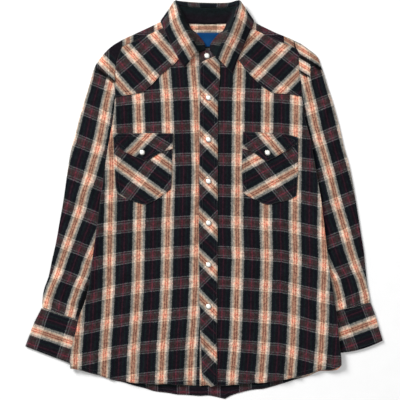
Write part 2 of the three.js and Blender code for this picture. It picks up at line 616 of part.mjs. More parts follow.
function tubeFrom(rings, flip) {
  const size = rings[0].outer.length;
  const count = rings.length;
  const positions = [...rings.flatMap((ring) => ring.outer), ...rings.flatMap((ring) => ring.inner)];
  const out = (r, i) => r * size + (i % size);
  const inn = (r, i) => count * size + out(r, i);
  const triangles = [];
  const quad = (a, b, c, d) => {
    const faces = [[a, b, c], [a, c, d]];
    triangles.push(...(flip ? faces.map((face) => [...face].reverse()) : faces));
  };
  for (let i = 0; i < size; i += 1) {
    for (let r = 0; r < count - 1; r += 1) {
      quad(out(r, i), out(r, i + 1), out(r + 1, i + 1), out(r + 1, i));
      quad(inn(r, i + 1), inn(r, i), inn(r + 1, i), inn(r + 1, i + 1));
    }
    quad(out(0, i + 1), out(0, i), inn(0, i), inn(0, i + 1));
    quad(out(count - 1, i), out(count - 1, i + 1), inn(count - 1, i + 1), inn(count - 1, i));
  }
  return solidFrom(positions, triangles);
}

function armholeRing(side) {
  const outward = side === "left" ? -SEAM_GAP : SEAM_GAP;
  const top = shoulders[side][shoulders[side].length - 1][1];
  const levels = [top - 0.3, 322, 308, 294, 267, 241, 228, PIT + 1.5, PIT];
  return levels.map((y) => [along(sides, "y", y, side) + outward, y]);
}

function sectionPoints({ ox, oy, ix, iy }, bow = 0) {
  return ACROSS.map((t) => [mix(ox, ix, t), mix(oy, iy, t) - bow * 4 * t * (1 - t)]);
}

function buildSleeves() {
  for (const [side, rows] of Object.entries(sleeves)) {
    const first = armholeRing(side);
    const rings = [ringLoops(first, first.map(() => ARMHOLE_STACK), CLOTH)];
    for (const row of rows) {
      const points = sectionPoints(row);
      const width = Math.hypot(row.ox - row.ix, row.oy - row.iy);
      const heights = points.map(([x, y], i) => {
        const fromHidden = (1 - ACROSS[i]) * width;
        const room = ease((ACROSS[i] * width - 2) / 16) * ease((fromHidden - 20) / 14);
        const edge = ease((row.oy - 330) / -20);
        return row.stack + edge * room * foldHeight(sleeveFolds, x, y);
      });
      rings.push(ringLoops(points, heights, CLOTH));
    }
    finish(`sleeve_${side}`, tubeFrom(rings, side === "left"), FLANNEL);
  }
}

function buildCuffs() {
  for (const [side, rows] of Object.entries(cuffs)) {
    const rings = rows.map((row, i) => {
      const points = sectionPoints(row, CUFF_BOW[side] * i / (rows.length - 1));
      return ringLoops(points, points.map(() => CUFF_STACK), CUFF_WALL);
    });
    finish(`cuff_${side}`, tubeFrom(rings, side === "left"), FLANNEL_LIGHT);
  }
}

// Collar: both pieces are sheets through the stations
const SEAM_DOWN = 0.13; // the leaf is sewn on a little below the fold
const STAND_DOWN = 0.145;
const STAND_MIDDLE = 0.55;
const STAND_SAG = 0.8;

const pointBetween = (p, q, t) => p.map((value, i) => mix(value, q[i], t));

function leafRow([fold, seam, turn, share, height, edge]) {
  const [x, y] = pointBetween(turn, edge, share);
  return [pointBetween(fold, seam, SEAM_DOWN), fold, turn, [x, y, height], edge];
}

function standRow([fold, seam]) {
  const [x, y, z] = pointBetween(fold, seam, STAND_MIDDLE);
  return [pointBetween(fold, seam, STAND_DOWN), [x, y, z - STAND_SAG], seam];
}

function curveThrough(points, steps) {
  const curve = [];
  const at = (i) => points[Math.min(points.length - 1, Math.max(0, i))];
  for (let i = 0; i < points.length - 1; i += 1) {
    for (let k = 0; k < steps; k += 1) {
      const t = k / steps;
      curve.push(points[i].map((_, axis) => {
        const [a, b, c, d] = [at(i - 1)[axis], at(i)[axis], at(i + 1)[axis], at(i + 2)[axis]];
        return 0.5 * (2 * b + (c - a) * t + (2 * a - 5 * b + 4 * c - d) * t * t
          + (3 * b - a - 3 * c + d) * t * t * t);
      }));
    }
  }
  curve.push(points[points.length - 1]);
  return curve;
}

const turned = (grid) => grid[0].map((_, c) => grid.map((row) => row[c]));

function refine(grid) {
  const across = grid.map((row) => curveThrough(row, 2));
  const both = turned(turned(across).map((column) => curveThrough(column, 2)));
  return both.map((row) => row.map(([x, y, z]) => [x, y, Math.max(z, COLLAR_WALL / 2)]));
}

function thicken(grid, wall) {
  const rows = grid.length;
  const columns = grid[0].length;
  const within = (value, count) => Math.min(count - 1, Math.max(0, value));
  const at = (r, c) => new THREE.Vector3(...grid[within(r, rows)][within(c, columns)]);
  const offset = (sign) => grid.map((row, r) => row.map((point, c) => {
    const alongRow = at(r, c + 1).sub(at(r, c - 1));
    const downRows = at(r + 1, c).sub(at(r - 1, c));
    const normal = alongRow.cross(downRows).normalize();
    return new THREE.Vector3(...point).addScaledVector(normal, sign * wall / 2).toArray();
  }));
  return wallBetween(offset(1), offset(-1));
}

function buildCollar() {
  const leaf = refine(collar.map(leafRow));
  const stand = refine(collar.map(standRow));
  const tab = prism(tabOutline, TAB_UNDER, COLLAR_WALL);
  finish("collar_stand", thicken(stand, COLLAR_WALL).add(tab), FLANNEL);
  finish("collar_leaf", thicken(leaf, COLLAR_WALL), FLANNEL_LIGHT);
}

// Pearl snaps: a steel ring with a domed cap inside it. Each profile lists radii and heights
const ringProfile = [
  [4.7, GAP], [RING_RADIUS, GAP], [RING_RADIUS, 0.9], [5.6, 1.5], [5.0, 1.6], [5.2, 1.2], [4.7, GAP],
];
const pearlProfile = [
  [0, 1.3], [PEARL_RADIUS - 0.1, 1.3], [PEARL_RADIUS, 1.7], [3.9, 2.5], [2.2, 3.0], [0, 3.2],
];
const postProfile = [
  [0, GAP], [SNAP_POST.radius, GAP], [SNAP_POST.radius, GAP + SNAP_POST.height],
  [0, GAP + SNAP_POST.height],
];

function turnedSolid(profile) {
  const geometry = new THREE.LatheGeometry(profile.map(([r, h]) => new THREE.Vector2(r, h)), 16);
  geometry.rotateX(Math.PI / 2);
  return solidOf(geometry);
}

function buildSnap(name, x, y, z) {
  const cap = turnedSolid(pearlProfile).add(turnedSolid(postProfile));
  finish(`${name}_ring`, turnedSolid(ringProfile).translate([x, y, z]), STEEL);
  finish(`${name}_pearl`, cap.translate([x, y, z]), PEARL);
}

function buildSnaps() {
  buildSnap("snap_1", SNAP_TOP.x, SNAP_TOP.y, TAB_UNDER + COLLAR_WALL);
  for (let i = 0; i < SNAP_COUNT_BELOW; i += 1) {
    const y = SNAP_SECOND_Y - i * SNAP_PITCH;
    const top = rightFrontUnder(PLACKET_CENTRE, y) + LAYER + PLACKET_WALL;
    buildSnap(`snap_${i + 2}`, PLACKET_CENTRE, y, top);
  }
  for (const [side, { snap }] of Object.entries(pockets)) {
    const base = side === "left" ? frontUnder : rightFrontUnder;
    buildSnap(`pocket_snap_${side}`, snap.x, snap.y, base(snap.x, snap.y) + 2 * LAYER + CLOTH);
  }
}

buildBack();
buildBackYoke();
buildFronts();
buildFrontYokes();
buildPlacket();
buildPockets();
buildLabel();
buildSleeves();
buildCuffs();
buildCollar();
buildSnaps();

// The origin is the middle of the shirt's outline, on the surface that it lies on
const box = new THREE.Box3().setFromObject(parts);
const middle = box.getCenter(new THREE.Vector3());
parts.position.set(-middle.x, -middle.y, -box.min.z);
parts.updateMatrixWorld(true);

export default parts;
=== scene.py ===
import math

import bmesh
import bpy
import numpy as np
from mathutils.geometry import delaunay_2d_cdt
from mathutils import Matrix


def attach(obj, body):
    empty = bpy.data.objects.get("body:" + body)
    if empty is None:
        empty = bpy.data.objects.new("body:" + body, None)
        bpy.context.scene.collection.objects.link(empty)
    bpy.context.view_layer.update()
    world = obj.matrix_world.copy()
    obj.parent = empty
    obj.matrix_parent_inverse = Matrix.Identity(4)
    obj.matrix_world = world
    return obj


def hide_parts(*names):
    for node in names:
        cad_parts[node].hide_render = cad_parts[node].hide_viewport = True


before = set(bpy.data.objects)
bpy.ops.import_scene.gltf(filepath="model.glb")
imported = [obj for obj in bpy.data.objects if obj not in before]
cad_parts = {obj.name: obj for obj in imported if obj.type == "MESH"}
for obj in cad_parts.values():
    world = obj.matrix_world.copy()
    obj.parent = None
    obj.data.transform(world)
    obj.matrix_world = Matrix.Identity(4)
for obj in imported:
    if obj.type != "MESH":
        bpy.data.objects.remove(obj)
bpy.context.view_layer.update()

# The shirt lies on a plain white table and is seen from straight above, in soft and even
# daylight that comes a little more from the upper left.
camera_data = bpy.data.cameras.new("camera")
camera_data.lens = 107.0
camera_data.sensor_width = 36.0
camera = bpy.data.objects.new("camera", camera_data)
camera.location = (-0.0085, -0.0005, 2.5)
bpy.context.scene.collection.objects.link(camera)
bpy.context.scene.camera = camera
bpy.context.scene.view_settings.view_transform = "Standard"


class Value:
    """A shader number that adds Math nodes when it is used in an expression."""

    def __init__(self, finish, socket):
        self.finish = finish
        self.socket = socket

    def joined(self, operation, *values):
        inputs = {i: value for i, value in enumerate(values)}
        return self.finish.node("ShaderNodeMath", {"operation": operation}, inputs)

    def __add__(self, other):
        return self.joined("ADD", self, other)

    __radd__ = __add__

    def __mul__(self, other):
        return self.joined("MULTIPLY", self, other)

    __rmul__ = __mul__

    def __sub__(self, other):
        return self.joined("SUBTRACT", self, other)

    def __rsub__(self, other):
        return self.joined("SUBTRACT", other, self)

    def __truediv__(self, other):
        return self.joined("DIVIDE", self, other)

    def __abs__(self):
        return self.joined("ABSOLUTE", self)

    def fraction(self):
        return self.joined("FRACT", self)


class Finish:
    """One material. A node is made from its type, its settings and its inputs, in that order."""

    def __init__(self, name):
        self.material = bpy.data.materials.new(name)
        self.material.use_nodes = True
        self.tree = self.material.node_tree
        self.surface = self.tree.nodes["Principled BSDF"]

    def fill(self, socket, value):
        if isinstance(value, Value):
            self.tree.links.new(value.socket, socket)
        else:
            socket.default_value = value

    def node(self, kind, settings=None, inputs=None, output=0):
        made = self.tree.nodes.new(kind)
        for name, setting in (settings or {}).items():
            if name == "stops":
                ramp = made.color_ramp
                ramp.elements[0].position = setting[0][0]
                ramp.elements[0].color = setting[0][1]
                ramp.elements[1].position = setting[-1][0]
                ramp.elements[1].color = setting[-1][1]
                for position, colour in setting[1:-1]:
                    ramp.elements.new(position).color = colour
            else:
                setattr(made, name, setting)
        for name, value in (inputs or {}).items():
            self.fill(made.inputs[name], value)
        return Value(self, made.outputs[output])

    def set(self, **inputs):
        for name, value in inputs.items():
            self.fill(self.surface.inputs[name.replace("_", " ")], value)

    def spot(self, scale, detail=2.0, where=None):
        place = where or self.node("ShaderNodeTexCoord", output="Object")
        inputs = {"Vector": place, "Scale": scale, "Detail": detail}
        return self.node("ShaderNodeTexNoise", {}, inputs, "Fac")

    def ramp_between(self, value, low, high):
        inputs = {"Value": value, "From Min": low, "From Max": high}
        return self.node("ShaderNodeMapRange", {"interpolation_type": "SMOOTHSTEP"}, inputs)

    def fade(self, value, low, high):
        return 1.0 - self.ramp_between(value, low, high)

    def part(self, vector, index):
        return self.node("ShaderNodeSeparateXYZ", {}, {0: vector}, index)

    def mix(self, factor, first, second, blend="MIX"):
        settings = {"data_type": "RGBA", "blend_type": blend}
        return self.node("ShaderNodeMix", settings, {0: factor, 6: first, 7: second}, 2)


def shade(red, green, blue):
    """A colour from its screen values of 0 to 255."""
    linear = [((c / 255 + 0.055) / 1.055) ** 2.4 if c > 10 else c / 3295 for c in (red, green, blue)]
    return (*linear, 1.0)


table_finish = Finish("white_table")
table_grain = table_finish.spot(30.0, 3.0)
table_finish.set(
    Base_Color=table_finish.mix(table_grain, (0.86, 0.86, 0.86, 1), (0.9, 0.9, 0.9, 1)), Roughness=0.9)
bpy.ops.object.select_all(action="DESELECT")
bpy.ops.mesh.primitive_plane_add(size=9.0, location=(0, 0, -0.0002))
table = bpy.context.active_object
table.name = "table_top"
table.data.materials.append(table_finish.material)

for name, place, size, power in [
    ("window_light", (-2.6, 2.6, 1.95), 1.5, 258.0),
    ("fill_light", (1.8, -1.2, 2.6), 2.6, 26.0),
]:
    light_data = bpy.data.lights.new(name, "AREA")
    light_data.shape = "SQUARE"
    light_data.size = size
    light_data.energy = power
    light = bpy.data.objects.new(name, light_data)
    light.location = place
    sideways = math.hypot(place[0], place[1])
    light.rotation_euler = (math.atan2(sideways, place[2]), 0, math.atan2(place[0], -place[1]))
    bpy.context.scene.collection.objects.link(light)
world = bpy.data.worlds.new("daylight")
world.use_nodes = True
world.node_tree.nodes["Background"].inputs["Color"].default_value = (1, 1, 1, 1)
world.node_tree.nodes["Background"].inputs["Strength"].default_value = 0.42
bpy.context.scene.world = world

# Back: one panel of brushed flannel that carries the whole shirt. It lies flat on the table, and
# its side margins ride over the sleeves and cuffs that are tucked under the body.
cloth_wall = 1.2  # millimetres, as all sizes here
layer_rise = 1.5
shift = (-0.1, -0.537)  # from the pattern's own origin to the middle of the shirt
square = 2.1  # the plaid is charted in squares of this size, 400 each way
stripe_squares = 28.8  # from one light stripe to the next, in squares
band_squares = 31.2  # from one crosswise band to the next
stripe_pitch = 60.4  # the same two in millimetres, as they are used along straight pieces
band_pitch = 65.5
twill_rib = 1.7
side_table = np.array([
    (-430, -284, 291), (-345, -282, 290), (-310, -278, 285), (-280, -269, 282), (-245, -262, 279),
    (-210, -248, 274), (-175, -240, 268), (-135, -236, 261), (-95, -230, 257), (-50, -224, 252),
    (5, -217, 245), (50, -210, 237), (95, -204, 229), (135, -197, 222), (172, -190, 211),
    (200, -187.4, 206.5), (214.5, -186, 205.5), (241, -187, 205), (267, -187, 200), (294, -183, 199),
    (308, -177, 200), (322, -172, 192), (336, -172, 190), (430, -172, 190),
])
hem_table = np.array([
    (-282, -352, -352.5), (-252, -359, -359.5), (-218, -370, -370.5), (-187, -378, -379),
    (-147, -384, -390), (-120, -385.5, -397), (-93, -386.5, -404), (-67, -387.5, -407.5),
    (-40, -388.5, -409.5), (-8, -389.5, -411.5), (19, -390.5, -412), (44, -389.5, -417),
    (65, -388, -407.5), (86, -386, -402), (118, -383.5, -397), (149, -380, -391.5),
    (181, -374.5, -380.5), (202, -369.5, -375), (223, -363.5, -368.5), (244, -358, -359),
    (265, -356, -358.5), (280, -353.5, -356), (290, -345, -346),
])
pit = 214.5
pit_raised = 200.0


def ease(value):
    t = np.clip(value, 0, 1)
    return t * t * (3 - 2 * t)


def side_edge(side, y):
    return np.interp(y, side_table[:, 0], side_table[:, 1 if side == "left" else 2])


def hem_edge(kind, x):
    return np.interp(x, hem_table[:, 0], hem_table[:, 1 if kind == "front" else 2])


def from_side(x, y):
    return np.minimum(x - side_edge("left", y), side_edge("right", y) - x)


def ground(x, y):
    lift = 3.4 + 1.6 * ease((-190 - y) / 40)
    lift = lift * np.clip((pit - y) / (pit - pit_raised), 0, 1) * ease((46 - from_side(x, y)) / 26)
    neck = 2.5 * ease((118 - np.abs(x - 7)) / 14) * ease((y - 336) / 16)
    return lift + neck


def table_line(table, column, start, end):
    """A stretch of one column of an outline table, from one row value to another."""
    rows = [(row[0], row[column]) for row in table if min(start, end) < row[0] < max(start, end)]
    if start > end:
        rows.reverse()
    first, last = np.interp((start, end), table[:, 0], table[:, column])
    return [(start, float(first)), *rows, (end, float(last))]


def side_line(side, start, end):
    return [(x, y) for y, x in table_line(side_table, 1 if side == "left" else 2, start, end)]


def hem_line(kind, start, end):
    return table_line(hem_table, 1 if kind == "front" else 2, start, end)


def resampled(points, step, closed=True):
    """Points at even steps along a line, its true corners kept and its soft ones rounded."""
    corner_points = [np.array(p, float) for p in points]
    if closed:
        corner_points.append(corner_points[0])
    result, sharp = [], []
    count = len(corner_points)
    for i in range(count - 1):
        a, b = corner_points[i], corner_points[i + 1]
        before = corner_points[i - 1] if i > 0 else (corner_points[-2] if closed else a)
        turn = 0.0
        if np.linalg.norm(a - before) > 1e-6:
            first, second = a - before, b - a
            cosine = np.dot(first, second) / (np.linalg.norm(first) * np.linalg.norm(second) + 1e-9)
            turn = math.degrees(math.acos(float(np.clip(cosine, -1, 1))))
        pieces = max(1, int(round(np.linalg.norm(b - a) / step)))
        for k in range(pieces):
            result.append(a + (b - a) * k / pieces)
            sharp.append(k == 0 and (turn > 33 or (not closed and i == 0)))
    if not closed:
        result.append(corner_points[-1])
        sharp.append(True)
    line = np.array(result)
    fixed = np.array(sharp)
    for _ in range(5):
        before = np.roll(line, 1, axis=0)
        after = np.roll(line, -1, axis=0)
        smooth = (before + 2 * line + after) / 4
        line = np.where(fixed[:, None], line, smooth)
    return line


def distance_to_line(points, line, closed=True):
    """Distance of each point from the nearest stretch of a line."""
    ends = np.roll(line, -1, axis=0) if closed else line[1:]
    starts = line if closed else line[:-1]
    best = np.full(len(points), 1e9)
    run = ends - starts
    length = np.maximum((run ** 2).sum(1), 1e-9)
    for first in range(0, len(points), 2000):
        block = points[first:first + 2000]
        offset = block[:, None, :] - starts[None]
        t = np.clip((offset * run[None]).sum(2) / length[None], 0, 1)
        gap = offset - t[..., None] * run[None]
        best[first:first + 2000] = np.sqrt((gap ** 2).sum(2).min(1))
    return best


def inside_line(points, line):
    x, y = points[:, 0], points[:, 1]
    inside = np.zeros(len(points), bool)
    ends = np.roll(line, -1, axis=0)
    for (ax, ay), (bx, by) in zip(line, ends):
        if ay == by:
            continue
        crosses = (ay > y) != (by > y)
        inside ^= crosses & (x < (bx - ax) * (y - ay) / (by - ay) + ax)
    return inside


def rippled(outline, kind, amount):
    """The outline with a hem that wavers a little, as washed cloth does."""
    line = resampled(outline, 4.0)
    near_hem = ease((14 - np.abs(line[:, 1] - hem_edge(kind, line[:, 0]))) / 10)
    near_hem = near_hem * ease((-330 - line[:, 1]) / 16)
    x = line[:, 0]
    wave = np.sin(x / 7.3) + 0.7 * np.sin(x / 12.9 + 1.1) + 0.4 * np.sin(x / 4.1)
    line[:, 1] += near_hem * wave * amount
    return [tuple(point) for point in line]


def inset_line(line, by):
    """The line moved towards its inside, without the points that corners crowd out."""
    tangent = np.roll(line, -1, axis=0) - np.roll(line, 1, axis=0)
    tangent /= np.linalg.norm(tangent, axis=1)[:, None] + 1e-9
    area = 0.5 * np.sum(line[:, 0] * np.roll(line[:, 1], -1) - np.roll(line[:, 0], -1) * line[:, 1])
    normal = np.stack([-tangent[:, 1], tangent[:, 0]], 1) * (1 if area > 0 else -1)
    moved = line + normal * by
    keep = inside_line(moved, line) & (distance_to_line(moved, line) > by * 0.93)
    return moved[keep]


def squares(x, y):
    return x / square + 204, 200 - y / square


def slanted_chart(origin, stripe_angle, band_angle, pitch=(stripe_squares, band_squares)):
    """Chart of a piece cut at an angle, from one crossing and the falls of its stripes and bands."""
    stripe, band = math.radians(stripe_angle), math.radians(band_angle)

    def chart(x, y, *middle):
        px, py = squares(x, y)
        dx, dy = px - origin[0], py - origin[1]
        across = dx * math.sin(stripe) - dy * math.cos(stripe)
        along = dx * math.sin(band) - dy * math.cos(band)
        return across / pitch[0], along / pitch[1]

    return chart


def make_piece(name, points, faces, chart_values, edge_values, material, node):
    """A mesh from points in millimetres, with its plaid chart, riding on the shirt's body."""
    mesh = bpy.data.meshes.new(name)
    placed = (np.asarray(points, float) + (*shift, 0.0)) / 1000
    mesh.from_pydata(placed.tolist(), [], faces)
    layer = mesh.uv_layers.new(name="plaid")
    layer.data.foreach_set("uv", np.asarray(chart_values, np.float32).ravel())
    edge = mesh.attributes.new("edge", "FLOAT", "POINT")
    edge.data.foreach_set("value", np.asarray(edge_values, np.float32))
    mesh.shade_smooth()
    mesh.materials.append(material)
    piece = bpy.data.objects.new(name, mesh)
    bpy.context.scene.collection.objects.link(piece)
    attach(piece, "root")
    if node:
        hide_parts(node)
    return piece


def over_faces(faces, values):
    """The mean of each face's corner values, given to each of its corners."""
    sizes = np.array([len(face) for face in faces])
    owner = np.repeat(np.arange(len(faces)), sizes)
    return (np.bincount(owner, values) / sizes)[owner]


def corner_places(points, faces):
    """For each corner of each face: its point, and its place with the face's middle."""
    corner = np.array([i for face in faces for i in face])
    x, y = points[corner, 0], points[corner, 1]
    return corner, (x, y, over_faces(faces, x), over_faces(faces, y))


def loops_chart(points, faces, chart, chart_below=None, half=0):
    """Chart values for each corner of each face, with another chart for the points from half on."""
    corner, places = corner_places(points, faces)
    u, v = chart(*places)
    if chart_below is not None:
        below = corner >= half
        other_u, other_v = chart_below(*places)
        u, v = np.where(below, other_u, u), np.where(below, other_v, v)
    return np.stack([u, v], 1)


def panel_mesh(outline, under, wall, step):
    """Points, faces and edge distances of one flat panel that follows the cloth under it."""
    line = resampled(outline, step)
    rim = inset_line(line, 0.9)
    low, high = line.min(0), line.max(0)
    rows = np.arange(low[1], high[1], step * 0.866)
    grid = []
    for i, y in enumerate(rows):
        xs = np.arange(low[0] + (i % 2) * step / 2, high[0], step)
        grid.append(np.stack([xs, np.full(len(xs), y)], 1))
    grid = np.concatenate(grid)
    grid += np.random.default_rng(0).uniform(-0.12, 0.12, grid.shape) * step
    grid = grid[inside_line(grid, line)]
    grid = grid[distance_to_line(grid, line) > 0.9 + step * 0.55]
    flat = np.concatenate([line, rim, grid])
    ring = list(range(len(line)))
    edges = [(i, (i + 1) % len(line)) for i in ring]
    made = delaunay_2d_cdt(flat.tolist(), edges, [ring], 1, 1e-5)
    spots = np.array([tuple(v) for v in made[0]])
    triangles = np.array([face if len(face) == 3 else face[:3] for face in made[2]])
    a, b, c = (spots[triangles[:, k]] for k in range(3))
    turn = (b[:, 0] - a[:, 0]) * (c[:, 1] - a[:, 1]) - (b[:, 1] - a[:, 1]) * (c[:, 0] - a[:, 0])
    triangles[turn < 0] = triangles[turn < 0][:, ::-1]
    triangles = triangles[np.abs(turn) > 1e-7]
    edge = distance_to_line(spots, line)
    border = edge < 0.02
    height = under(spots[:, 0], spots[:, 1])
    top = height + wall - np.where(border, 0.32 * wall, 0)
    low_side = height + np.where(border, 0.22 * wall, 0)
    count = len(spots)
    points = np.concatenate([np.column_stack([spots, top]), np.column_stack([spots, low_side])])
    faces = [tuple(int(i) for i in t) for t in triangles]
    faces += [tuple(int(i) + count for i in t[::-1]) for t in triangles]
    directed = {(t[k], t[(k + 1) % 3]) for t in triangles.tolist() for k in range(3)}
    for first, second in directed:
        if (second, first) not in directed:
            faces.append((first + count, second + count, second, first))
    return points, faces, np.concatenate([edge, edge]), line


def panel(name, outline, under, wall, chart, node, slot_name, step=3.4, chart_below=None):
    """One flat panel of flannel, as a closed thin shell."""
    points, faces, edge, line = panel_mesh(outline, under, wall, step)
    values = loops_chart(points, faces, chart, chart_below, len(points) // 2)
    piece = make_piece(name, points, faces, values, edge, flannel_for(slot_name), node)
    return piece, line


def ramp_stops(colours):
    """The lanes of the plaid from the middle of a light stripe to the middle of the dark ground."""
    rust, brown, cream, grey, green, navy, plum, line = colours
    lanes = [
        (0.0, 0.9, rust), (1.6, 2.6, brown), (3.4, 4.5, rust), (5.6, 7.9, cream), (9.0, 12.2, grey),
        (13.4, 15.0, green), (16.4, 19.4, navy), (20.8, 22.6, green),
        (24.2, 26.4, plum), (27.4, 28.2, navy), (29.2, 30.2, line),
    ]
    half_repeat = 30.2
    stops = []
    for start, end, colour in lanes:
        stops.append((start / half_repeat, shade(*colour)))
        stops.append((end / half_repeat, shade(*colour)))
    return stops


def gap_shadow(finish, place, lines):
    """How much painted shadow a spot gets from the deep gaps between folds, each a line on the cloth."""
    x = finish.part(place, 0) * 1000.0
    y = finish.part(place, 1) * 1000.0
    shadow = 0.0
    for x0, y0, x1, y1 in lines:
        middle_x, middle_y = (x0 + x1) / 2 + shift[0], (y0 + y1) / 2 + shift[1]
        half = math.hypot(x1 - x0, y1 - y0) / 2
        dx, dy = (x1 - x0) / half / 2, (y1 - y0) / half / 2
        along = abs((x - middle_x) * dx + (y - middle_y) * dy)
        beside = abs((y - middle_y) * dx - (x - middle_x) * dy)
        within = finish.fade(along, half - 4.0, half + 2.5)
        shadow = within * finish.fade(beside, 1.6, 4.6) + shadow
    return shadow


def flannel_finish(name, shadow_lines):
    """Brushed twill flannel: the plaid from the chart, yarns, nap, seam puckers and soft wear, and painted
    shadow in the deep gaps between folds.
    """
    finish = Finish(name)
    chart = finish.node("ShaderNodeUVMap", {"uv_map": "plaid"})
    across = finish.part(chart, 0)
    along = finish.part(chart, 1)
    place = finish.node("ShaderNodeTexCoord", output="Object")
    fuzz = finish.spot(700.0, 3.0, place) - 0.5
    waver = finish.spot(60.0, 2.0, place) - 0.5
    drift = fuzz * 0.1 + waver * 0.02
    lane = abs((across + drift + 0.5).fraction() - 0.5) * 2.0
    row = abs((along + drift * 0.8 + 0.5).fraction() - 0.5) * band_pitch
    plain = finish.node("ShaderNodeValToRGB", {"stops": ramp_stops([
        (166, 126, 103), (114, 66, 58), (172, 155, 138), (118, 116, 111), (11, 22, 24), (9, 11, 20),
        (19, 12, 20), (42, 18, 28)])}, {"Fac": lane})
    banded = finish.node("ShaderNodeValToRGB", {"stops": ramp_stops([
        (236, 178, 150), (200, 104, 84), (228, 202, 180), (184, 164, 152), (54, 49, 46), (62, 44, 46),
        (74, 45, 49), (104, 46, 57)])}, {"Fac": lane})
    lined = finish.node("ShaderNodeValToRGB", {"stops": ramp_stops([
        (216, 178, 148), (190, 150, 122), (228, 210, 188), (190, 180, 170), (92, 98, 94),
        (92, 94, 98), (96, 90, 94), (104, 84, 92)])}, {"Fac": lane})
    wine = finish.fade(row, 5.8, 6.8)
    heart = finish.fade(row, 1.0, 2.2)
    edging = finish.ramp_between(row, 6.2, 6.9) - finish.ramp_between(row, 7.8, 8.6)
    thin = finish.ramp_between(row, 10.9, 11.6) - finish.ramp_between(row, 12.5, 13.2)
    warp = across * (stripe_pitch / twill_rib)
    weft = along * (band_pitch / twill_rib)
    twill = abs((warp + weft).fraction() - 0.5) * 2.0
    flecks = finish.ramp_between(finish.spot(380.0, 3.0, place), 0.4, 0.6)
    wide = finish.fade(row, 11.2, 12.6)
    colour = finish.mix(wide * (0.3 + 0.3 * flecks) + wine * (0.12 + 0.4 * twill), plain, banded)
    colour = finish.mix(edging * (0.25 + 0.4 * twill), colour, lined)
    colour = finish.mix(thin * (0.5 + 0.4 * twill), colour, lined)
    rose = finish.mix(1.0, colour, shade(252, 196, 186), "MULTIPLY")
    colour = finish.mix(heart * 0.3, colour, rose)
    nap = finish.spot(1500.0, 4.0, place)
    patch = finish.spot(7.0, 3.0, place)
    mottle = finish.ramp_between(finish.spot(230.0, 5.0, place), 0.38, 0.62)
    dapple = finish.ramp_between(finish.spot(90.0, 3.0, place), 0.38, 0.62)
    depth = 0.34 + 0.2 * twill + 0.25 * nap + 0.1 * patch + 0.42 * mottle + 0.18 * dapple
    # The colour is darkened along the listed lines: painted shadow in the deep gaps between the folds.
    if shadow_lines:
        depth = depth * (1.0 - 0.88 * gap_shadow(finish, place, shadow_lines))
    yarn = finish.mix(1.0, colour, finish.node("ShaderNodeCombineXYZ", {}, {
        0: depth, 1: depth, 2: depth}), "MULTIPLY")
    fibre = finish.ramp_between(finish.spot(420.0, 4.0, place), 0.52, 0.75)
    haze = finish.mix(fibre * 0.012, yarn, shade(160, 150, 140))
    edge = finish.node("ShaderNodeAttribute", {"attribute_name": "edge"}, {}, "Fac")
    rim = finish.fade(edge, 0.0, 1.6)
    # Real wear lightens the rims; this colour also carries the painted shadow of the fold gaps.
    wear_and_shade = finish.mix(rim * 0.05, haze, shade(176, 168, 160))
    finish.set(Base_Color=wear_and_shade, Roughness=0.93, Sheen_Weight=0.03, Sheen_Roughness=0.6,
               Specular_IOR_Level=0.06)
    near_valley = finish.fade(abs(edge - 1.8), 0.0, 1.1)
    far_valley = finish.fade(abs(edge - 7.4), 0.0, 1.1)
    pucker = finish.spot(160.0, 2.0, place) * finish.fade(edge, 8.0, 12.0)
    relief = twill * 0.25 + nap * 0.35 - near_valley * 0.9 - far_valley * 0.9 + pucker * 1.3
    finish.set(Normal=finish.node("ShaderNodeBump", {}, {
        "Strength": 0.5, "Distance": 0.0007, "Height": relief}))
    return finish.material


flannels = {}
# Lines where the colour is darkened with painted shadow: the tucks at both sleeve heads, and beside the
# body's edge low on the left sleeve.
sleeve_shadow_lines = [(-228.9, 278.1, -186.5, 245.3), (198.7, 303.2, 245.7, 273.6), (200.3, 269.4, 219, 257.7),
               (-243.4, -178.5, -266.3, -244.7)]


def flannel_for(slot_name):
    if slot_name not in flannels:
        shadow_lines = sleeve_shadow_lines if slot_name == "flannel" else []
        flannels[slot_name] = flannel_finish(f"{slot_name}_plaid", shadow_lines)
    return flannels[slot_name]


thread_finish = Finish("navy_thread")
thread_twist = thread_finish.spot(2600.0, 2.0)
thread_finish.set(Base_Color=thread_finish.mix(thread_twist, shade(24, 26, 34), shade(62, 58, 66)),
                  Roughness=0.6)


def plain_chart(faces):
    """Chart values of a piece without plaid."""
    return np.zeros((sum(len(face) for face in faces), 2))


def closed_run(line):
    return np.concatenate([line, line[:1]])


def stitches(name, lines, height, step=3.0, size=2.2, radius=0.28):
    """Rows of single stitches, each a small rounded bar of thread that sinks in at both ends."""
    points, faces = [], []
    sides = 5
    for line in lines:
        line = np.asarray(line, float)
        run = np.linalg.norm(np.diff(line, axis=0), axis=1)
        travelled = np.concatenate([[0], np.cumsum(run)])
        starts = np.arange(0.4, travelled[-1] - size, step)
        for start in starts:
            reach = start + np.array([0, 0.22, 0.78, 1.0]) * size
            x = np.interp(reach, travelled, line[:, 0])
            y = np.interp(reach, travelled, line[:, 1])
            if np.hypot(x[-1] - x[0], y[-1] - y[0]) > size * 1.1:
                continue
            z = height(x, y) + np.array([-0.12, 0.12, 0.12, -0.12])
            dx, dy = x[-1] - x[0], y[-1] - y[0]
            long = math.hypot(dx, dy) + 1e-9
            nx, ny = -dy / long, dx / long
            first = len(points)
            for k, thick in enumerate([0.5, 1.0, 1.0, 0.5]):
                for turn in range(sides):
                    angle = turn * math.tau / sides
                    out = math.cos(angle) * radius * thick
                    up = math.sin(angle) * radius * thick
                    points.append((x[k] + nx * out, y[k] + ny * out, z[k] + up))
            for k in range(3):
                for turn in range(sides):
                    a = first + k * sides + turn
                    b = first + k * sides + (turn + 1) % sides
                    faces.append((a, a + sides, b + sides, b))
            faces.append(tuple(first + turn for turn in range(sides)))
            faces.append(tuple(first + 3 * sides + turn for turn in reversed(range(sides))))
    return make_piece(name, points, faces, plain_chart(faces), np.zeros(len(points)),
                      thread_finish.material, None)


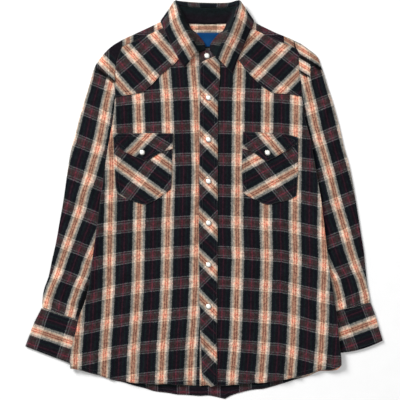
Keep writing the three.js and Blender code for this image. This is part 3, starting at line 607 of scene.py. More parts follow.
def open_run(line, keep):
    """The longest unbroken stretch of a closed line whose points pass a test."""
    passed = keep(line[:, 0], line[:, 1])
    if passed.all():
        return closed_run(line)
    start = int(np.argmin(passed))
    order = np.roll(np.arange(len(line)), -start)
    best, run = [], []
    for i in order:
        if passed[i]:
            run.append(i)
            if len(run) > len(best):
                best = list(run)
        else:
            run = []
    return line[best]


def hem_rows(line, kind):
    """Two rows for the hem's stitching, near its edge and along its fold."""
    return [open_run(inset_line(line, inset), lambda x, y: y < hem_edge(kind, x) + 12)
            for inset in (2.0, 8.0)]


def back_outside_chart(x, y, *middle):
    return (x - 9) / stripe_pitch, (y - 14) / band_pitch


# The back's inside is charted crosswise, so that the strip showing below the fronts' hem falls on the dark
# ground with only the wine bands crossing it: painted shade for the shadow there.
def back_inside_shaded_chart(x, y, *middle):
    return 0.5 + (y + 404) / stripe_pitch * 0.6, (x + 44) / band_pitch


back_outline = [
    *hem_line("back", -280, 288), *side_line("right", -341, 257), (8, 221.7),
    *side_line("left", 257, -345),
]
back, back_line = panel("back_cloth", rippled(back_outline, "back", 0.7), ground, cloth_wall,
                        back_inside_shaded_chart, "back", "flannel", step=6.0,
                        chart_below=back_outside_chart)
back_threads = stitches("back_stitching", hem_rows(back_line, "back"),
                        lambda x, y: ground(x, y) + cloth_wall)

# Back yoke: one shaped piece across the shoulders. It is folded over the shoulder line, and its
# folded strip is sewn down on both fronts; inside the neck its crosswise stripe shows.
strip_depth = 15.0
strip_top = 2 * layer_rise + cloth_wall
shoulder_lines = {
    "left": [(-57, 387.5), (-89.5, 374.4), (-107, 366.5), (-145, 349), (-172, 336.6)],
    "right": [(69, 388.5), (103, 374), (125.5, 363.5), (152, 350.7), (179, 340), (190, 334.6)],
}
back_neck = [(-44, 375.9), (-31.5, 370.2), (7.4, 369), (47.3, 370.2), (58.8, 375.9)]


def lowered(points, by):
    return [(x, y - by) for x, y in points]


def yoke_inside_chart(x, y, *middle):
    px, py = squares(x, y)
    return (py - 28.0) / 25.5, (px - 192) / band_squares


def yoke_outside_chart(x, y, cx, cy):
    px, py = squares(x, y)
    strip_pitch = 31.3
    count = np.where(px > 200, np.minimum((px - 125.5) / strip_pitch, 4.6), (px - 128) / strip_pitch)
    from_stripe = (count - np.round(count)) * 1.25
    u, v = np.round(count) + np.clip(from_stripe, -0.47, 0.47), (py - 60) / band_squares
    sleeve_end = squares(cx, cy)[0] > 284
    rim_away = (py - 41.9) * 0.846 - (px - 290.7) * 0.533
    return (np.where(sleeve_end, (rim_away - 0.6) / stripe_squares * 1.35, u),
            np.where(sleeve_end, (px - 304) / band_squares, v))


def shoulder_strip(side):
    """The folded strip: a doubled sheet round the shoulder line, closed along both ends."""
    line = np.array(sorted(shoulder_lines[side]))
    xs = np.arange(line[0, 0], line[-1, 0] + 0.1, 3.0)
    xs[-1] = line[-1, 0]
    ys = np.interp(xs, line[:, 0], line[:, 1])
    lift = ground(xs, np.full(len(xs), 398.0))
    middle = strip_top / 2
    angles = np.linspace(-math.pi / 2, math.pi / 2, 9)

    def profile(radius, sink):
        legs = [(9.0, middle - radius + sink), (5.0, middle - radius + sink)]
        turn = [(middle - radius * math.cos(a), middle + radius * math.sin(a)) for a in angles]
        top = middle + radius
        crown = [(4.5, top + 0.25), (8.0, top + 0.1), (11.5, top + 0.15), (14.2, top)]
        return legs + turn + crown

    outer = profile(middle, 0.12) + [(strip_depth, strip_top - 0.4)]
    inner = profile(middle - cloth_wall, -0.12) + [(strip_depth, strip_top - cloth_wall + 0.2)]
    ring = outer + inner[::-1]
    points = [(x, y - d, z + h) for x, y, h in zip(xs, ys, lift) for d, z in ring]
    size = len(ring)
    faces = []
    for r in range(len(xs) - 1):
        for k in range(size):
            a, b = r * size + k, r * size + (k + 1) % size
            faces.append((a, b, b + size, a + size))
    faces.append(tuple(range(size))[::-1])
    faces.append(tuple((len(xs) - 1) * size + k for k in range(size)))
    edges = [strip_depth - d for _ in xs for d, _ in ring]
    return np.array(points), faces, np.array(edges)


yoke_outline = [
    *side_line("left", 330, 258), (8, 222), *side_line("right", 258, 330),
    *lowered(shoulder_lines["right"], 2.3)[::-1], *back_neck[::-1],
    *lowered(shoulder_lines["left"], 2.3),
]
yoke_points, yoke_faces, yoke_edge = panel_mesh(yoke_outline, ground, cloth_wall, 4.0)[:3]
yoke_values = loops_chart(yoke_points, yoke_faces, yoke_inside_chart, yoke_outside_chart,
                          len(yoke_points) // 2)
for side in ("left", "right"):
    strip_points, strip_faces, strip_edge = shoulder_strip(side)
    values = loops_chart(strip_points, strip_faces, yoke_outside_chart)
    base = len(yoke_points)
    yoke_points = np.concatenate([yoke_points, strip_points])
    yoke_faces = yoke_faces + [tuple(i + base for i in face) for face in strip_faces]
    yoke_values = np.concatenate([yoke_values, values])
    yoke_edge = np.concatenate([yoke_edge, strip_edge])
back_yoke = make_piece("back_yoke_cloth", yoke_points, yoke_faces, yoke_values, yoke_edge,
                       flannel_for("flannel_bias"), "back_yoke")
strip_rows = []
for side in ("left", "right"):
    for depth in (12.8, 8.0):
        strip_rows.append(resampled(lowered(shoulder_lines[side], depth), 2.0, closed=False))
yoke_threads = stitches("back_yoke_stitching", strip_rows,
                        lambda x, y: ground(x, np.full_like(x, 398.0)) + strip_top + 0.15)

# Fronts: two long panels on the straight grain, the right one lapping over the left one. They lie
# loose on the back, so they carry the body's long soft folds and the ripples above the hem.
placket_middle = 9.5
neck_lines = {
    "left": [(-54.6, 369.6), (-37.8, 354.9), (-21, 340.2), (-6.3, 321.3), (4.2, 304.5), (16.8, 296.1),
             (29.4, 289.8)],
    "right": [(71.4, 370.7), (52.5, 354.9), (35.7, 340.2), (33, 318), (32, 303.4), (16.8, 300),
              (4.2, 294.4), (-8.8, 288.2)],
}
pocket_snaps = {"left": (-129.8, 100.0), "right": (133.4, 99.3)}
broad_folds = [
    (-232, -352, -212, -120, 2.6, 20), (-150, -384, -158, -150, 2.8, 26), (-70, -388, -84, -190, 2.2, 24),
    (84, -386, 76, -170, 2.4, 26), (160, -378, 150, -90, 3.0, 28), (236, -358, 218, -140, 2.8, 22),
    (-160, -30, -60, -120, 2.2, 24), (190, -20, 80, -110, 2.2, 24), (-120, 200, -50, 168, 2.0, 20),
    (140, 196, 66, 172, 2.0, 20),
]
small_folds = [
    (-196, -372, -186, -250, 1.9, 8), (-126, -386, -118, -300, 2.2, 8), (-98, -388, -104, -330, 1.6, 7),
    (-44, -389, -40, -260, 1.8, 9), (-262, -352, -250, -268, 1.9, 8), (-168, -150, -196, -232, 1.5, 10),
    (-112, -60, -128, -170, 1.2, 10), (-52, -40, -46, -160, 1.3, 9), (-60, 214, -46, 96, 1.2, 9),
    (-176, -24, -150, -90, 1.4, 9), (-88, 62, -50, 22, 1.0, 9), (-180, 196, -150, 160, 1.6, 9),
    (54, -388, 60, -262, 1.6, 9), (112, -386, 106, -290, 2.2, 8), (136, -384, 140, -330, 1.5, 7),
    (196, -372, 188, -262, 2.0, 8), (262, -354, 250, -262, 2.0, 8), (172, -156, 224, -246, 2.4, 10),
    (206, -196, 240, -262, 1.8, 9), (92, -54, 104, -170, 1.3, 10), (56, 226, 62, 120, 1.2, 9),
    (150, -30, 204, -66, 1.4, 9), (56, 20, 60, -90, 1.1, 9), (196, 190, 168, 160, 1.5, 9),
]


def fold_height(folds, x, y):
    height = np.zeros(np.shape(x))
    for x0, y0, x1, y1, tall, width in folds:
        dx, dy = x1 - x0, y1 - y0
        near = np.clip(((x - x0) * dx + (y - y0) * dy) / (dx * dx + dy * dy), 0, 1)
        away = np.hypot(x - x0 - near * dx, y - y0 - near * dy) / width
        height = height + tall * np.exp(-1.6 * away ** 2) * (1 - 0.5 * near)
    return height


def puff(x, y):
    """How far the fronts stand off the back."""
    room = ease((from_side(x, y) - 14) / 40) * ease((np.abs(x - placket_middle) - 34) / 26)
    for sx, sy in pocket_snaps.values():
        room = room * ease((np.hypot(x - sx, y - sy) - 14) / 24)
    neck = 1.6 * ease((74 - np.abs(x - 8)) / 24) * ease((y - 262) / 30)
    sway = 0.5 * np.sin(x / 23 + y / 61) + 0.4 * np.sin(x / 37 - y / 43 + 1.3)
    folds = 0.9 + fold_height(broad_folds, x, y) * 1.3 + fold_height(small_folds, x, y) * 1.6 + sway
    seam_roll = 2.6 * np.exp(-(np.clip(from_side(x, y), 0, 99) / 8.0) ** 2) * ease((206 - y) / 20)
    return np.clip(room * folds, 0, 7.6) * (1 - neck / 1.6) + neck + seam_roll


def front_under(x, y):
    return ground(x, y) + layer_rise + puff(x, y)


def right_front_under(x, y):
    return front_under(x, y) + layer_rise * ease((74 - x) / 34)


def band_count(px, py, bands, falls_x, falls, strength_y, strength):
    """Which weft band a place is on, for bands that fall away towards the side seam."""
    fall = np.interp(px, falls_x, falls)
    level = py - np.interp(py, strength_y, strength) * fall
    level = py - np.interp(level, strength_y, strength) * fall
    ends = [2 * bands[0] - bands[1] - 31, 2 * bands[0] - bands[1], *bands,
            2 * bands[-1] - bands[-2], 2 * bands[-1] - bands[-2] + 31]
    return np.interp(level, ends, np.arange(len(ends)))


def front_left_chart(x, y, *middle):
    px, py = squares(x, y)
    stripe = np.interp(y, [-378, -315, -252, -178.5, -52.5, 63, 210, 283.5],
                       [-29.4, -26.7, -22, -18.3, -15.8, -12.6, -17.4, -23.3])
    bands = [93, 126.4, 158.8, 190, 221.3, 250.4, 281, 312.1, 342.5, 373.3]
    rows = band_count(px, py, bands, [80, 94, 110, 139, 168, 198], [16, 13.5, 9.7, 5.2, 2.4, 0],
                      [95, 127, 159, 190, 221, 252, 283, 315, 345, 375],
                      [0.8, 0.5, 0.48, 0.6, 0.75, 1.0, 1.15, 1.05, 1.08, 1.1])
    return (x - stripe) / stripe_pitch, rows


def front_right_chart(x, y, *middle):
    px, py = squares(x, y)
    stripe = np.interp(py, [75, 100, 225, 260, 300, 314, 346, 378],
                       [239.5, 238.5, 237, 237.9, 236.5, 236.3, 234.9, 232.2])
    bands = [94, 127.5, 159.4, 190.6, 221.5, 252, 282.3, 313.6, 344.8, 375.2]
    rows = band_count(px, py, bands, [222, 237, 265, 280, 294, 308, 322, 333],
                      [0, 1, 3.3, 4, 7, 10.5, 14, 16],
                      [95, 159, 190, 283, 313, 345], [0.55, 0.5, 0.75, 1, 1.05, 1.05])
    return (px - stripe) / stripe_squares, rows


seam_depth = strip_depth + 0.3
seams = {side: lowered(shoulder_lines[side], seam_depth) for side in ("left", "right")}
front_left_outline = [
    *hem_line("front", -280, 29.4), *neck_lines["left"][::-1], *seams["left"][1:],
    *side_line("left", 319.5, -345),
]
front_right_outline = [
    *hem_line("front", -9, 288), *side_line("right", -341, 317.5), *seams["right"][::-1][:-1],
    *neck_lines["right"],
]
front_left, line_left = panel("front_left_cloth", rippled(front_left_outline, "front", 0.9),
                              front_under, cloth_wall, front_left_chart, "front_left", "flannel",
                              step=3.8)
front_right, line_right = panel("front_right_cloth", rippled(front_right_outline, "front", 0.9),
                                right_front_under, cloth_wall, front_right_chart, "front_right",
                                "flannel", step=3.8)
front_sheets = [
    ("front_left", front_left, line_left, front_under, (0.311, 0.760), 0.182),
    ("front_right", front_right, line_right, right_front_under, (0.298, 0.762), 0.181),
]
for name, piece, line, under, flat, area in front_sheets:
    threads = stitches(f"{name}_stitching", hem_rows(line, "front"),
                       lambda x, y: under(x, y) + cloth_wall)


# Front yokes: pointed bias pieces laid on the fronts from the shoulder seam down, their lower
# edges turned under and sewn with two rows.
yoke_edges = {
    "left": [(-16.8, 335), (-29.4, 323.4), (-52.9, 295.7), (-65.1, 282.9), (-93.2, 260.8), (-109.2, 242.1),
             (-128.7, 225.3), (-141.3, 223.2), (-169.5, 219.2), (-186, 216)],
    "right": [(33.6, 340.2), (50.4, 323.4), (73.1, 293), (92, 267.5), (122.6, 237.9), (141.8, 225.1),
              (159.6, 223.2), (178.9, 222.5), (205, 217)],
}
yoke_outlines = {
    "left": [*neck_lines["left"][1:3][::-1], (-54.6, 369.6), *seams["left"][1:],
             *side_line("left", 319.5, 217), *yoke_edges["left"][::-1]],
    "right": [*yoke_edges["right"], *side_line("right", 218, 317.5), *seams["right"][::-1][:-1],
              (71.4, 370.7), *neck_lines["right"][1:3]],
}
yoke_charts = {
    "left": slanted_chart((133.5, 55.7), 48.3, -40.0),
    "right": slanted_chart((258.6, 72.6), -45.5, 37.0),
}
yoke_unders = {
    "left": lambda x, y: front_under(x, y) + layer_rise,
    "right": lambda x, y: right_front_under(x, y) + layer_rise,
}
for side, flat, area in [("left", (0.170, 0.154), 0.0146), ("right", (0.172, 0.154), 0.0147)]:
    under = yoke_unders[side]
    yoke, line = panel(f"front_yoke_{side}_cloth", yoke_outlines[side], under, cloth_wall,
                       yoke_charts[side], f"front_yoke_{side}", "flannel_bias", step=2.6)
    edge_line = np.array(yoke_edges[side])
    rows = []
    for inset in (1.8, 7.4):
        run = inset_line(line, inset)
        near = distance_to_line(run, edge_line, closed=False) < inset + 2.5
        rows.append(open_run(run, lambda x, y, near=near: near))
    threads = stitches(f"front_yoke_{side}_stitching", rows,
                       lambda x, y, under=under: under(x, y) + cloth_wall)

# Placket: a bias band of two layers down the edge of the overlapping front, sewn along both edges.
placket_outline = [
    (-8.4, 287.2), (4.2, 293.4), (16.8, 299), (32, 302), (33.6, 281), (33.4, 252), (29.4, 210),
    (28.6, -105), (27.3, -315), (29, -388.5), (14, -392), (3, -384.5), (-4.6, -370), (-9.5, -210),
    (-10.9, -63), (-9, 210),
]
placket_wall = 1.4


def placket_under(x, y):
    return right_front_under(x, y) + layer_rise


def placket_chart(x, y, *middle):
    px, py = squares(x, y)
    return (py - px - 15.5) / 41.0, (py + px - 436.0) / 44.0


placket, placket_line = panel("placket_cloth", placket_outline, placket_under, placket_wall, placket_chart,
                              "placket", "flannel_bias", step=2.4)
edge_run = inset_line(placket_line, 1.8)
inner_run = inset_line(placket_line, 7.4)
placket_rows = [
    closed_run(edge_run),
    open_run(inner_run, lambda x, y: (x > placket_middle) & (y < 285)),
    open_run(inner_run, lambda x, y: (x < placket_middle) & (y > -372)),
]
placket_threads = stitches("placket_stitching", placket_rows,
                           lambda x, y: placket_under(x, y) + placket_wall)

# Chest pockets: pointed bias patches, each under a pointed flap cut across the patch's stripes.
# Every edge is turned under and sewn twice, except the flap's lower one, which the snap holds.
pockets = {
    "left": {
        "body": [(-190, 139.5), (-65.5, 139.5), (-67.6, 47), (-69, 23.5), (-90, 8), (-104, -2),
                 (-119, -9), (-129, -9.5), (-148, -3), (-165, 3.5), (-180.5, 12), (-185.4, 29),
                 (-188.6, 88)],
        "flap": [(-190.8, 140), (-64.8, 140), (-65.4, 108), (-90, 100), (-108.4, 89), (-116.8, 83.4),
                 (-126, 81.5), (-144.7, 90.7), (-170.3, 103), (-189.4, 119.5)],
        "body_chart": slanted_chart((138.9, 179.5), 36.0, -52.0),
        "flap_chart": slanted_chart((146.6, 136.6), -46.0, 31.0),
        "under": front_under,
        "flats": [((0.1245, 0.149), 0.0165), ((0.126, 0.0585), 0.0051)],
    },
    "right": {
        "body": [(82.5, 142.8), (170, 138.6), (198, 130.8), (197, 50.6), (195, 18.5), (193.8, 7.8),
                 (172.4, -2), (151, -6.3), (137, -10.5), (123, -7.4), (113.4, -2), (91, 8.8),
                 (82.5, 15), (80.2, 40), (79.2, 72)],
        "flap": [(82, 143.4), (170, 139.2), (198.4, 131.2), (197.4, 121), (177, 104.2), (166, 100),
                 (151, 90.3), (132.7, 80.6), (123.3, 84.8), (110.3, 95.6), (100.6, 101.5),
                 (80.4, 108.5)],
        "body_chart": slanted_chart((273.5, 182.6), -29.0, 52.0),
        "flap_chart": slanted_chart((267.0, 137.4), 50.0, -33.0),
        "under": right_front_under,
        "flats": [((0.119, 0.153), 0.0163), ((0.118, 0.063), 0.0047)],
    },
}
for side, pocket in pockets.items():
    under = pocket["under"]
    for part, layers in (("body", 1), ("flap", 2)):
        node = f"pocket_{side}" if part == "body" else f"pocket_flap_{side}"

        def part_under(x, y, under=under, layers=layers):
            return under(x, y) + layers * layer_rise

        piece, line = panel(f"{node}_cloth", pocket[part], part_under, cloth_wall,
                            pocket[f"{part}_chart"], node, "flannel_bias", step=2.4)
        rows = [inset_line(line, inset) for inset in (1.8, 7.4)]
        if part == "body":
            rows = [open_run(row, lambda x, y: y < 128) for row in rows]
        else:
            rows = [closed_run(row) for row in rows]
        threads = stitches(f"{node}_stitching", rows,
                           lambda x, y, below=part_under: below(x, y) + cloth_wall)
        flat, area = pocket["flats"][layers - 1]

# Sleeves: long tubes from the armhole to the cuff, pressed flat by their own weight. The head of
# each is fuller than the armhole, so it tucks there, and the inner edge lies under the body.
armhole_gap = 0.4
sleeve_rows = {
    "left": [
        (-187.3, 327.6, -188.6, 210.5, 4.2), (-200.8, 317, -189.2, 205.5, 4.2),
        (-216.7, 299.5, -188.8, 200.2, 3.2), (-226.2, 286, -187, 192, 3.0), (-233, 270, -184, 182, 3.0),
        (-238.4, 252, -181, 170, 3.0), (-243.6, 232.5, -180, 156, 3.0), (-257, 189.6, -182, 130, 3.0),
        (-270.3, 138.6, -187, 95, 3.0), (-279.7, 104, -191, 65, 3.0), (-286.4, 63.8, -196, 33, 3.0),
        (-295.3, 0, -205, -22, 3.0), (-302.4, -40, -210, -62, 3.0), (-310.8, -88, -216, -107, 3.0),
        (-319.8, -128, -222, -144, 3.0), (-326.6, -160.7, -227, -178, 3.0), (-336, -187.5, -236, -214, 3.0),
        (-339.8, -211.7, -247, -243, 3.4), (-340.2, -225, -251, -256.6, 4.2),
    ],
    "right": [
        (203.3, 328.6, 207.8, 210, 4.2), (222, 315, 208.4, 205.5, 4.2), (237.9, 301.4, 208.8, 200.2, 3.2),
        (245.7, 281.4, 206.5, 191, 3.0), (253, 260.4, 203.5, 181, 3.0), (259.6, 237.9, 201, 167, 3.0),
        (270.3, 205.8, 202.5, 148, 3.0), (283.5, 157.5, 208, 117, 3.0), (294, 111.3, 214, 80, 3.0),
        (303.7, 77.7, 220, 46, 3.0), (312.9, 33.6, 227, 10, 3.0), (325.1, -40, 236, -58, 3.0),
        (330.5, -75.6, 240.5, -92, 3.0), (335.8, -107, 244.5, -122, 3.0), (339.8, -147, 251, -160, 3.0),
        (343.8, -178.5, 257.5, -190, 3.0), (348, -203, 261, -219, 3.4), (349.4, -214.6, 262, -237, 4.2),
    ],
}
sleeve_folds = [
    (-228, 279, -192, 257, 6.5, 13), (232, 283, 212, 272, 6.0, 12), (224, 262, 216, 232, 3.2, 9),
    (-258, 120, -222, 60, 2.6, 14), (-286, -10, -236, 30, 2.8, 14), (-306, -110, -262, -60, 2.2, 15),
    (-322, -200, -290, -130, 2.6, 12), (-286, -232, -262, -170, 2.6, 11), (276, 140, 252, 70, 2.6, 14),
    (316, -20, 272, 20, 2.8, 14), (326, -120, 284, -70, 2.2, 15), (334, -196, 312, -130, 2.6, 12),
    (296, -222, 284, -160, 2.6, 11),
]
sleeve_creases = [
    (-214, 292, -196, 276, 2.4, 6), (-206, 244, -214, 196, 2.2, 7), (-244, 214, -226, 170, 1.8, 8),
    (-226, 150, -214, 92, 1.8, 8), (-262, 84, -236, 22, 1.7, 9), (-250, 40, -226, -10, 1.5, 7),
    (-288, -60, -258, -108, 1.8, 8), (-302, -224, -296, -170, 2.2, 7), (-326, -218, -318, -168, 2.0, 6),
    (-270, -246, -262, -206, 2.0, 6), (226, 298, 214, 286, 2.4, 6), (222, 244, 232, 190, 2.0, 7),
    (262, 206, 246, 160, 1.8, 8), (240, 150, 232, 92, 1.8, 8), (288, 84, 262, 30, 1.7, 9),
    (270, 30, 254, -12, 1.5, 7), (306, -60, 284, -112, 1.8, 8), (318, -212, 314, -160, 2.2, 7),
    (340, -206, 334, -158, 2.0, 6), (280, -232, 276, -196, 2.0, 6),
]


def through(rows, steps):
    """A smooth curve through rows of numbers, in even steps between each pair."""
    rows = np.asarray(rows, float)
    result = []
    for i in range(len(rows) - 1):
        a, b = rows[max(i - 1, 0)], rows[i]
        c, d = rows[i + 1], rows[min(i + 2, len(rows) - 1)]
        for k in range(steps):
            t = k / steps
            result.append(0.5 * (2 * b + (c - a) * t + (2 * a - 5 * b + 4 * c - d) * t * t
                                 + (3 * b - a - 3 * c + d) * t ** 3))
    result.append(rows[-1])
    return np.array(result)


across = np.concatenate([[0, 0.004, 0.011, 0.022, 0.04], np.linspace(0.07, 0.93, 34),
                         [0.96, 0.978, 0.989, 0.996, 1]])


def armhole_section(side):
    outward = -armhole_gap if side == "left" else armhole_gap
    top = shoulder_lines[side][-1][1] - 0.3
    ys = top + (pit - top) * across
    return np.stack([side_edge(side, ys) + outward, ys], 1)


def tube_rings(sections, stacks, wall, extra):
    """Outer and inner loops of a flattened tube, from its sections and their thickness."""
    outer, inner = [], []
    for section, stack in zip(sections, stacks):
        width = np.linalg.norm(section[-1] - section[0])
        middle = (section[0] + section[-1]) / 2
        for loops, inset, thick in ((outer, 0.0, stack / 2), (inner, wall, stack / 2 - wall)):
            shrink = 1 - 2 * inset / width
            spots = middle + (section - middle) * shrink
            edge = np.minimum(across, 1 - across) * width * shrink
            rounding = np.sqrt(np.clip(1 - (1 - np.clip(edge / (stack * 0.7), 0, 1)) ** 2, 0, 1))
            half = thick * rounding
            rise = extra(spots[:, 0], spots[:, 1], across * width, (1 - across) * width)
            top = np.column_stack([spots, stack / 2 + half + rise])
            bottom = np.column_stack([spots, stack / 2 - half])
            loops.append(np.concatenate([top, bottom[1:-1][::-1]]))
    return outer, inner


def tube_mesh(outer, inner, flip):
    size = len(outer[0])
    count = len(outer)
    points = np.concatenate([*outer, *inner])
    faces = []

    def add(a, b, c, d):
        faces.append((d, c, b, a) if flip else (a, b, c, d))

    far = count * size
    for k in range(size):
        n = (k + 1) % size
        for r in range(count - 1):
            a, b = r * size + k, r * size + n
            add(a, b, b + size, a + size)
            add(far + b, far + a, far + a + size, far + b + size)
        add(n, k, far + k, far + n)
        last = (count - 1) * size
        add(last + k, last + n, far + last + n, far + last + k)
    return points, faces


def tube_chart(points, faces, chart, low, edge_u):
    """The chart goes round the outer edge: the underside carries on from it."""
    corner, places = corner_places(points, faces)
    u, v = chart(*places)
    low_face = over_faces(faces, low[corner]) > 0.5
    return np.stack([np.where(low_face, 2 * edge_u[corner] - u, u), v], 1)


sleeve_stripe = {
    "left": np.array([(113, 60), (112.5, 74), (110.9, 81.6), (106.1, 101.7), (103.7, 117), (100.9, 132.3),
                      (97.5, 148.6), (92.7, 163.9), (88.4, 179.2), (83.2, 193.5), (78.7, 211.4),
                      (73.1, 227.8), (67.4, 244.1), (62.3, 259.4), (57.8, 273.7), (51.6, 288),
                      (46.7, 302.2), (45.5, 308.9), (42, 322)]),
    "right": np.array([(303.5, 60), (305.6, 78.3), (308.4, 89.8), (312.3, 107), (315.6, 124.2),
                       (319.9, 139.5), (324.7, 154.8), (329.5, 172), (333.8, 189.3), (337.2, 203.5),
                       (341.8, 218.8), (346.4, 235.1), (350, 249.4), (355.6, 266.7), (361.2, 280),
                       (365.3, 295.3), (366.3, 302.4), (369, 316)]),
}
sleeve_bands = {
    "left": [22, 54, 85.4, 117, 148.6, 179.2, 211.4, 244.1, 273.7, 302.2, 333],
    "right": [14, 45, 76, 107, 139, 171.5, 203.5, 235.1, 266.7, 295.3, 325],
}

# How much of the next light stripe shows along the outer edge, in squares of the chart.
sleeve_rims = {
    "left": [(66, 1.8), (78, 2.5), (90, 3.2), (140, 3.4), (150, 2.4), (162, 1.0), (176, 0.1), (190, -2)],
    "right": [(66, 1.9), (90, 2.8), (126, 3.3), (162, 3.3), (174, 2.6), (186, 1.8), (198, 0.7), (212, -2)],
}


def sleeve_chart(side):
    stripe, bands = sleeve_stripe[side], sleeve_bands[side]
    fall = 0.404 if side == "left" else -0.404
    square_on = 0.965  # the stripe leans, so it is a little nearer than the level distance says
    outer_edge = np.array([squares(row[0], row[1]) for row in sleeve_rows[side]])
    rims = np.array(sleeve_rims[side])

    def chart(x, y, cx, cy):
        px, py = squares(x, y)
        level = py - fall * (px - np.interp(py, stripe[:, 1], stripe[:, 0]))
        level = py - fall * (px - np.interp(level, stripe[:, 1], stripe[:, 0]))
        away = (px - np.interp(py, stripe[:, 1], stripe[:, 0])) * square_on
        hidden = away > 0 if side == "left" else away < 0
        start = 234 if side == "left" else 252
        reach = np.abs(np.interp(py, outer_edge[:, 1], outer_edge[:, 0])
                       - np.interp(py, stripe[:, 1], stripe[:, 0])) * square_on
        edge_u = 1 - (6.2 - np.interp(py, rims[:, 0], rims[:, 1])) / stripe_squares
        fade = np.clip((py - 188) / 24, 0, 1)
        outer_pitch = reach / edge_u * (1 - fade) + 25.4 * fade
        hidden_pitch = np.interp(py, [start - 30, start + 28], [31.5, 25.4])
        pitch = np.where(hidden, hidden_pitch, outer_pitch)
        u = away / pitch
        v = np.interp(level, bands, np.arange(len(bands)))
        mx, my = squares(cx, cy)
        if side == "left":
            below_gap = (my - 68.2) - (mx - 96.6) * 0.78
            away = (px - 101) * 0.712 - (py - 59) * 0.702
            cap = below_gap < 0
            fold_u = np.clip(away / stripe_squares * 1.1, -0.44, 0.44)
            return np.where(cap, fold_u, u), np.where(cap, (px - 103) / band_squares, v)
        away = (py - 41.9) * 0.846 - (px - 290.7) * 0.533
        middle_away = (my - 41.9) * 0.846 - (mx - 290.7) * 0.533
        rim = middle_away < 7.9
        patch = (middle_away < 20.6) & (mx < 310) & ~rim
        u = np.where(patch, (away - 14) / stripe_squares * 1.25, u)
        u = np.where(rim, (away - 0.6) / stripe_squares * 1.35, u)
        return u, np.where(rim | patch, (px - 304) / band_squares, v)

    return chart


def sleeve_rise(x, y, from_outer, from_hidden):
    room = ease((from_outer - 1.5) / 15) * ease((from_hidden - 20) / 14)
    folds = fold_height(sleeve_folds, x, y) + fold_height(sleeve_creases, x, y) * 1.4
    wave = 0.35 * np.sin(x / 17 - y / 31) + 0.35
    return room * (folds + wave)


def build_tube(name, side, sections, stacks, wall, extra, chart, node, slot_name):
    outer, inner = tube_rings(sections, stacks, wall, extra)
    points, faces = tube_mesh(outer, inner, side == "left")
    size = len(outer[0])
    low = np.tile((np.arange(size) >= len(across)).astype(float), 2 * len(outer))
    edge_u = []
    for loop in outer:
        x, y = loop[0, :1], loop[0, 1:2]
        edge_u.append(np.repeat(chart(x, y, x, y)[0], size))
    values = tube_chart(points, faces, chart, low, np.tile(np.concatenate(edge_u), 2))
    centre = len(across) // 2
    travelled = np.concatenate([[0], np.cumsum([
        np.linalg.norm(b[centre] - a[centre]) for a, b in zip(outer, outer[1:])])])
    from_ends = np.minimum(travelled, travelled[-1] - travelled)
    edge = np.tile(np.repeat(from_ends, size), 2)
    return make_piece(name, points, faces, values, edge, flannel_for(slot_name), node), outer


for side, rows in sleeve_rows.items():
    dense = through(rows, 7)
    straight = [row[:2] + np.outer(across, row[2:4] - row[:2]) for row in dense]
    first = armhole_section(side)
    lead = [first + (straight[0] - first) * t for t in (0, 0.3, 0.65)]
    sections = lead + straight
    stacks = [4.2, 4.2, 4.2, *dense[:, 4]]
    sleeve = build_tube(f"sleeve_{side}_cloth", side, sections, stacks, cloth_wall,
                        lambda x, y, a, b: ease((330 - y) / 20) * sleeve_rise(x, y, a, b),
                        sleeve_chart(side), f"sleeve_{side}", "flannel")[0]
    0.093 if side == "left" else 0.0847

# Cuffs: deep double bands of interlined flannel, cut so that the light stripe runs round the wrist,
# sewn on over the gathered end of the sleeve.
cuff_rows = {
    "left": [(-340.8, -226.4, -251.6, -258.2), (-349, -242, -256.5, -279), (-357, -258, -262, -302),
             (-366.5, -283, -266.5, -326), (-375.4, -307.4, -271, -347)],
    "right": [(350.2, -216, 262.3, -238.6), (360.6, -244.4, 266, -262), (367.9, -270.3, 269, -288),
              (375.6, -295, 272, -321)],
}
cuff_bow = {"left": 0.0, "right": 7.0}
cuff_stack = 4.6
cuff_wall = 1.75
cuff_charts = {
    "left": slanted_chart((36.0, 330.6), 18.6, -71.4, (stripe_squares, 34.8)),
    "right": slanted_chart((345.9, 332.0), -20.3, 69.7, (stripe_squares, 29.4)),
}
for side, rows in cuff_rows.items():
    dense = through(rows, 9)
    share = np.linspace(0, 1, len(dense))
    sections = []
    for row, part in zip(dense, share):
        section = row[:2] + np.outer(across, row[2:4] - row[:2])
        section[:, 1] -= cuff_bow[side] * part * 4 * across * (1 - across)
        sections.append(section)
    swell = cuff_stack - 0.9 * np.exp(-(share / 0.05) ** 2) - 0.9 * np.exp(-((1 - share) / 0.05) ** 2)
    cuff, cuff_rings = build_tube(f"cuff_{side}_cloth", side, sections, swell, cuff_wall,
                                  lambda x, y, a, b: np.zeros_like(x), cuff_charts[side],
                                  f"cuff_{side}", "flannel_bias")
    thread_rows = [cuff_rings[place][3:len(across) - 3, :2] for place in (2, -3)]
    threads = stitches(f"cuff_{side}_stitching", thread_rows, lambda x, y: np.full_like(x, cuff_stack))
    0.018 if side == "left" else 0.0168

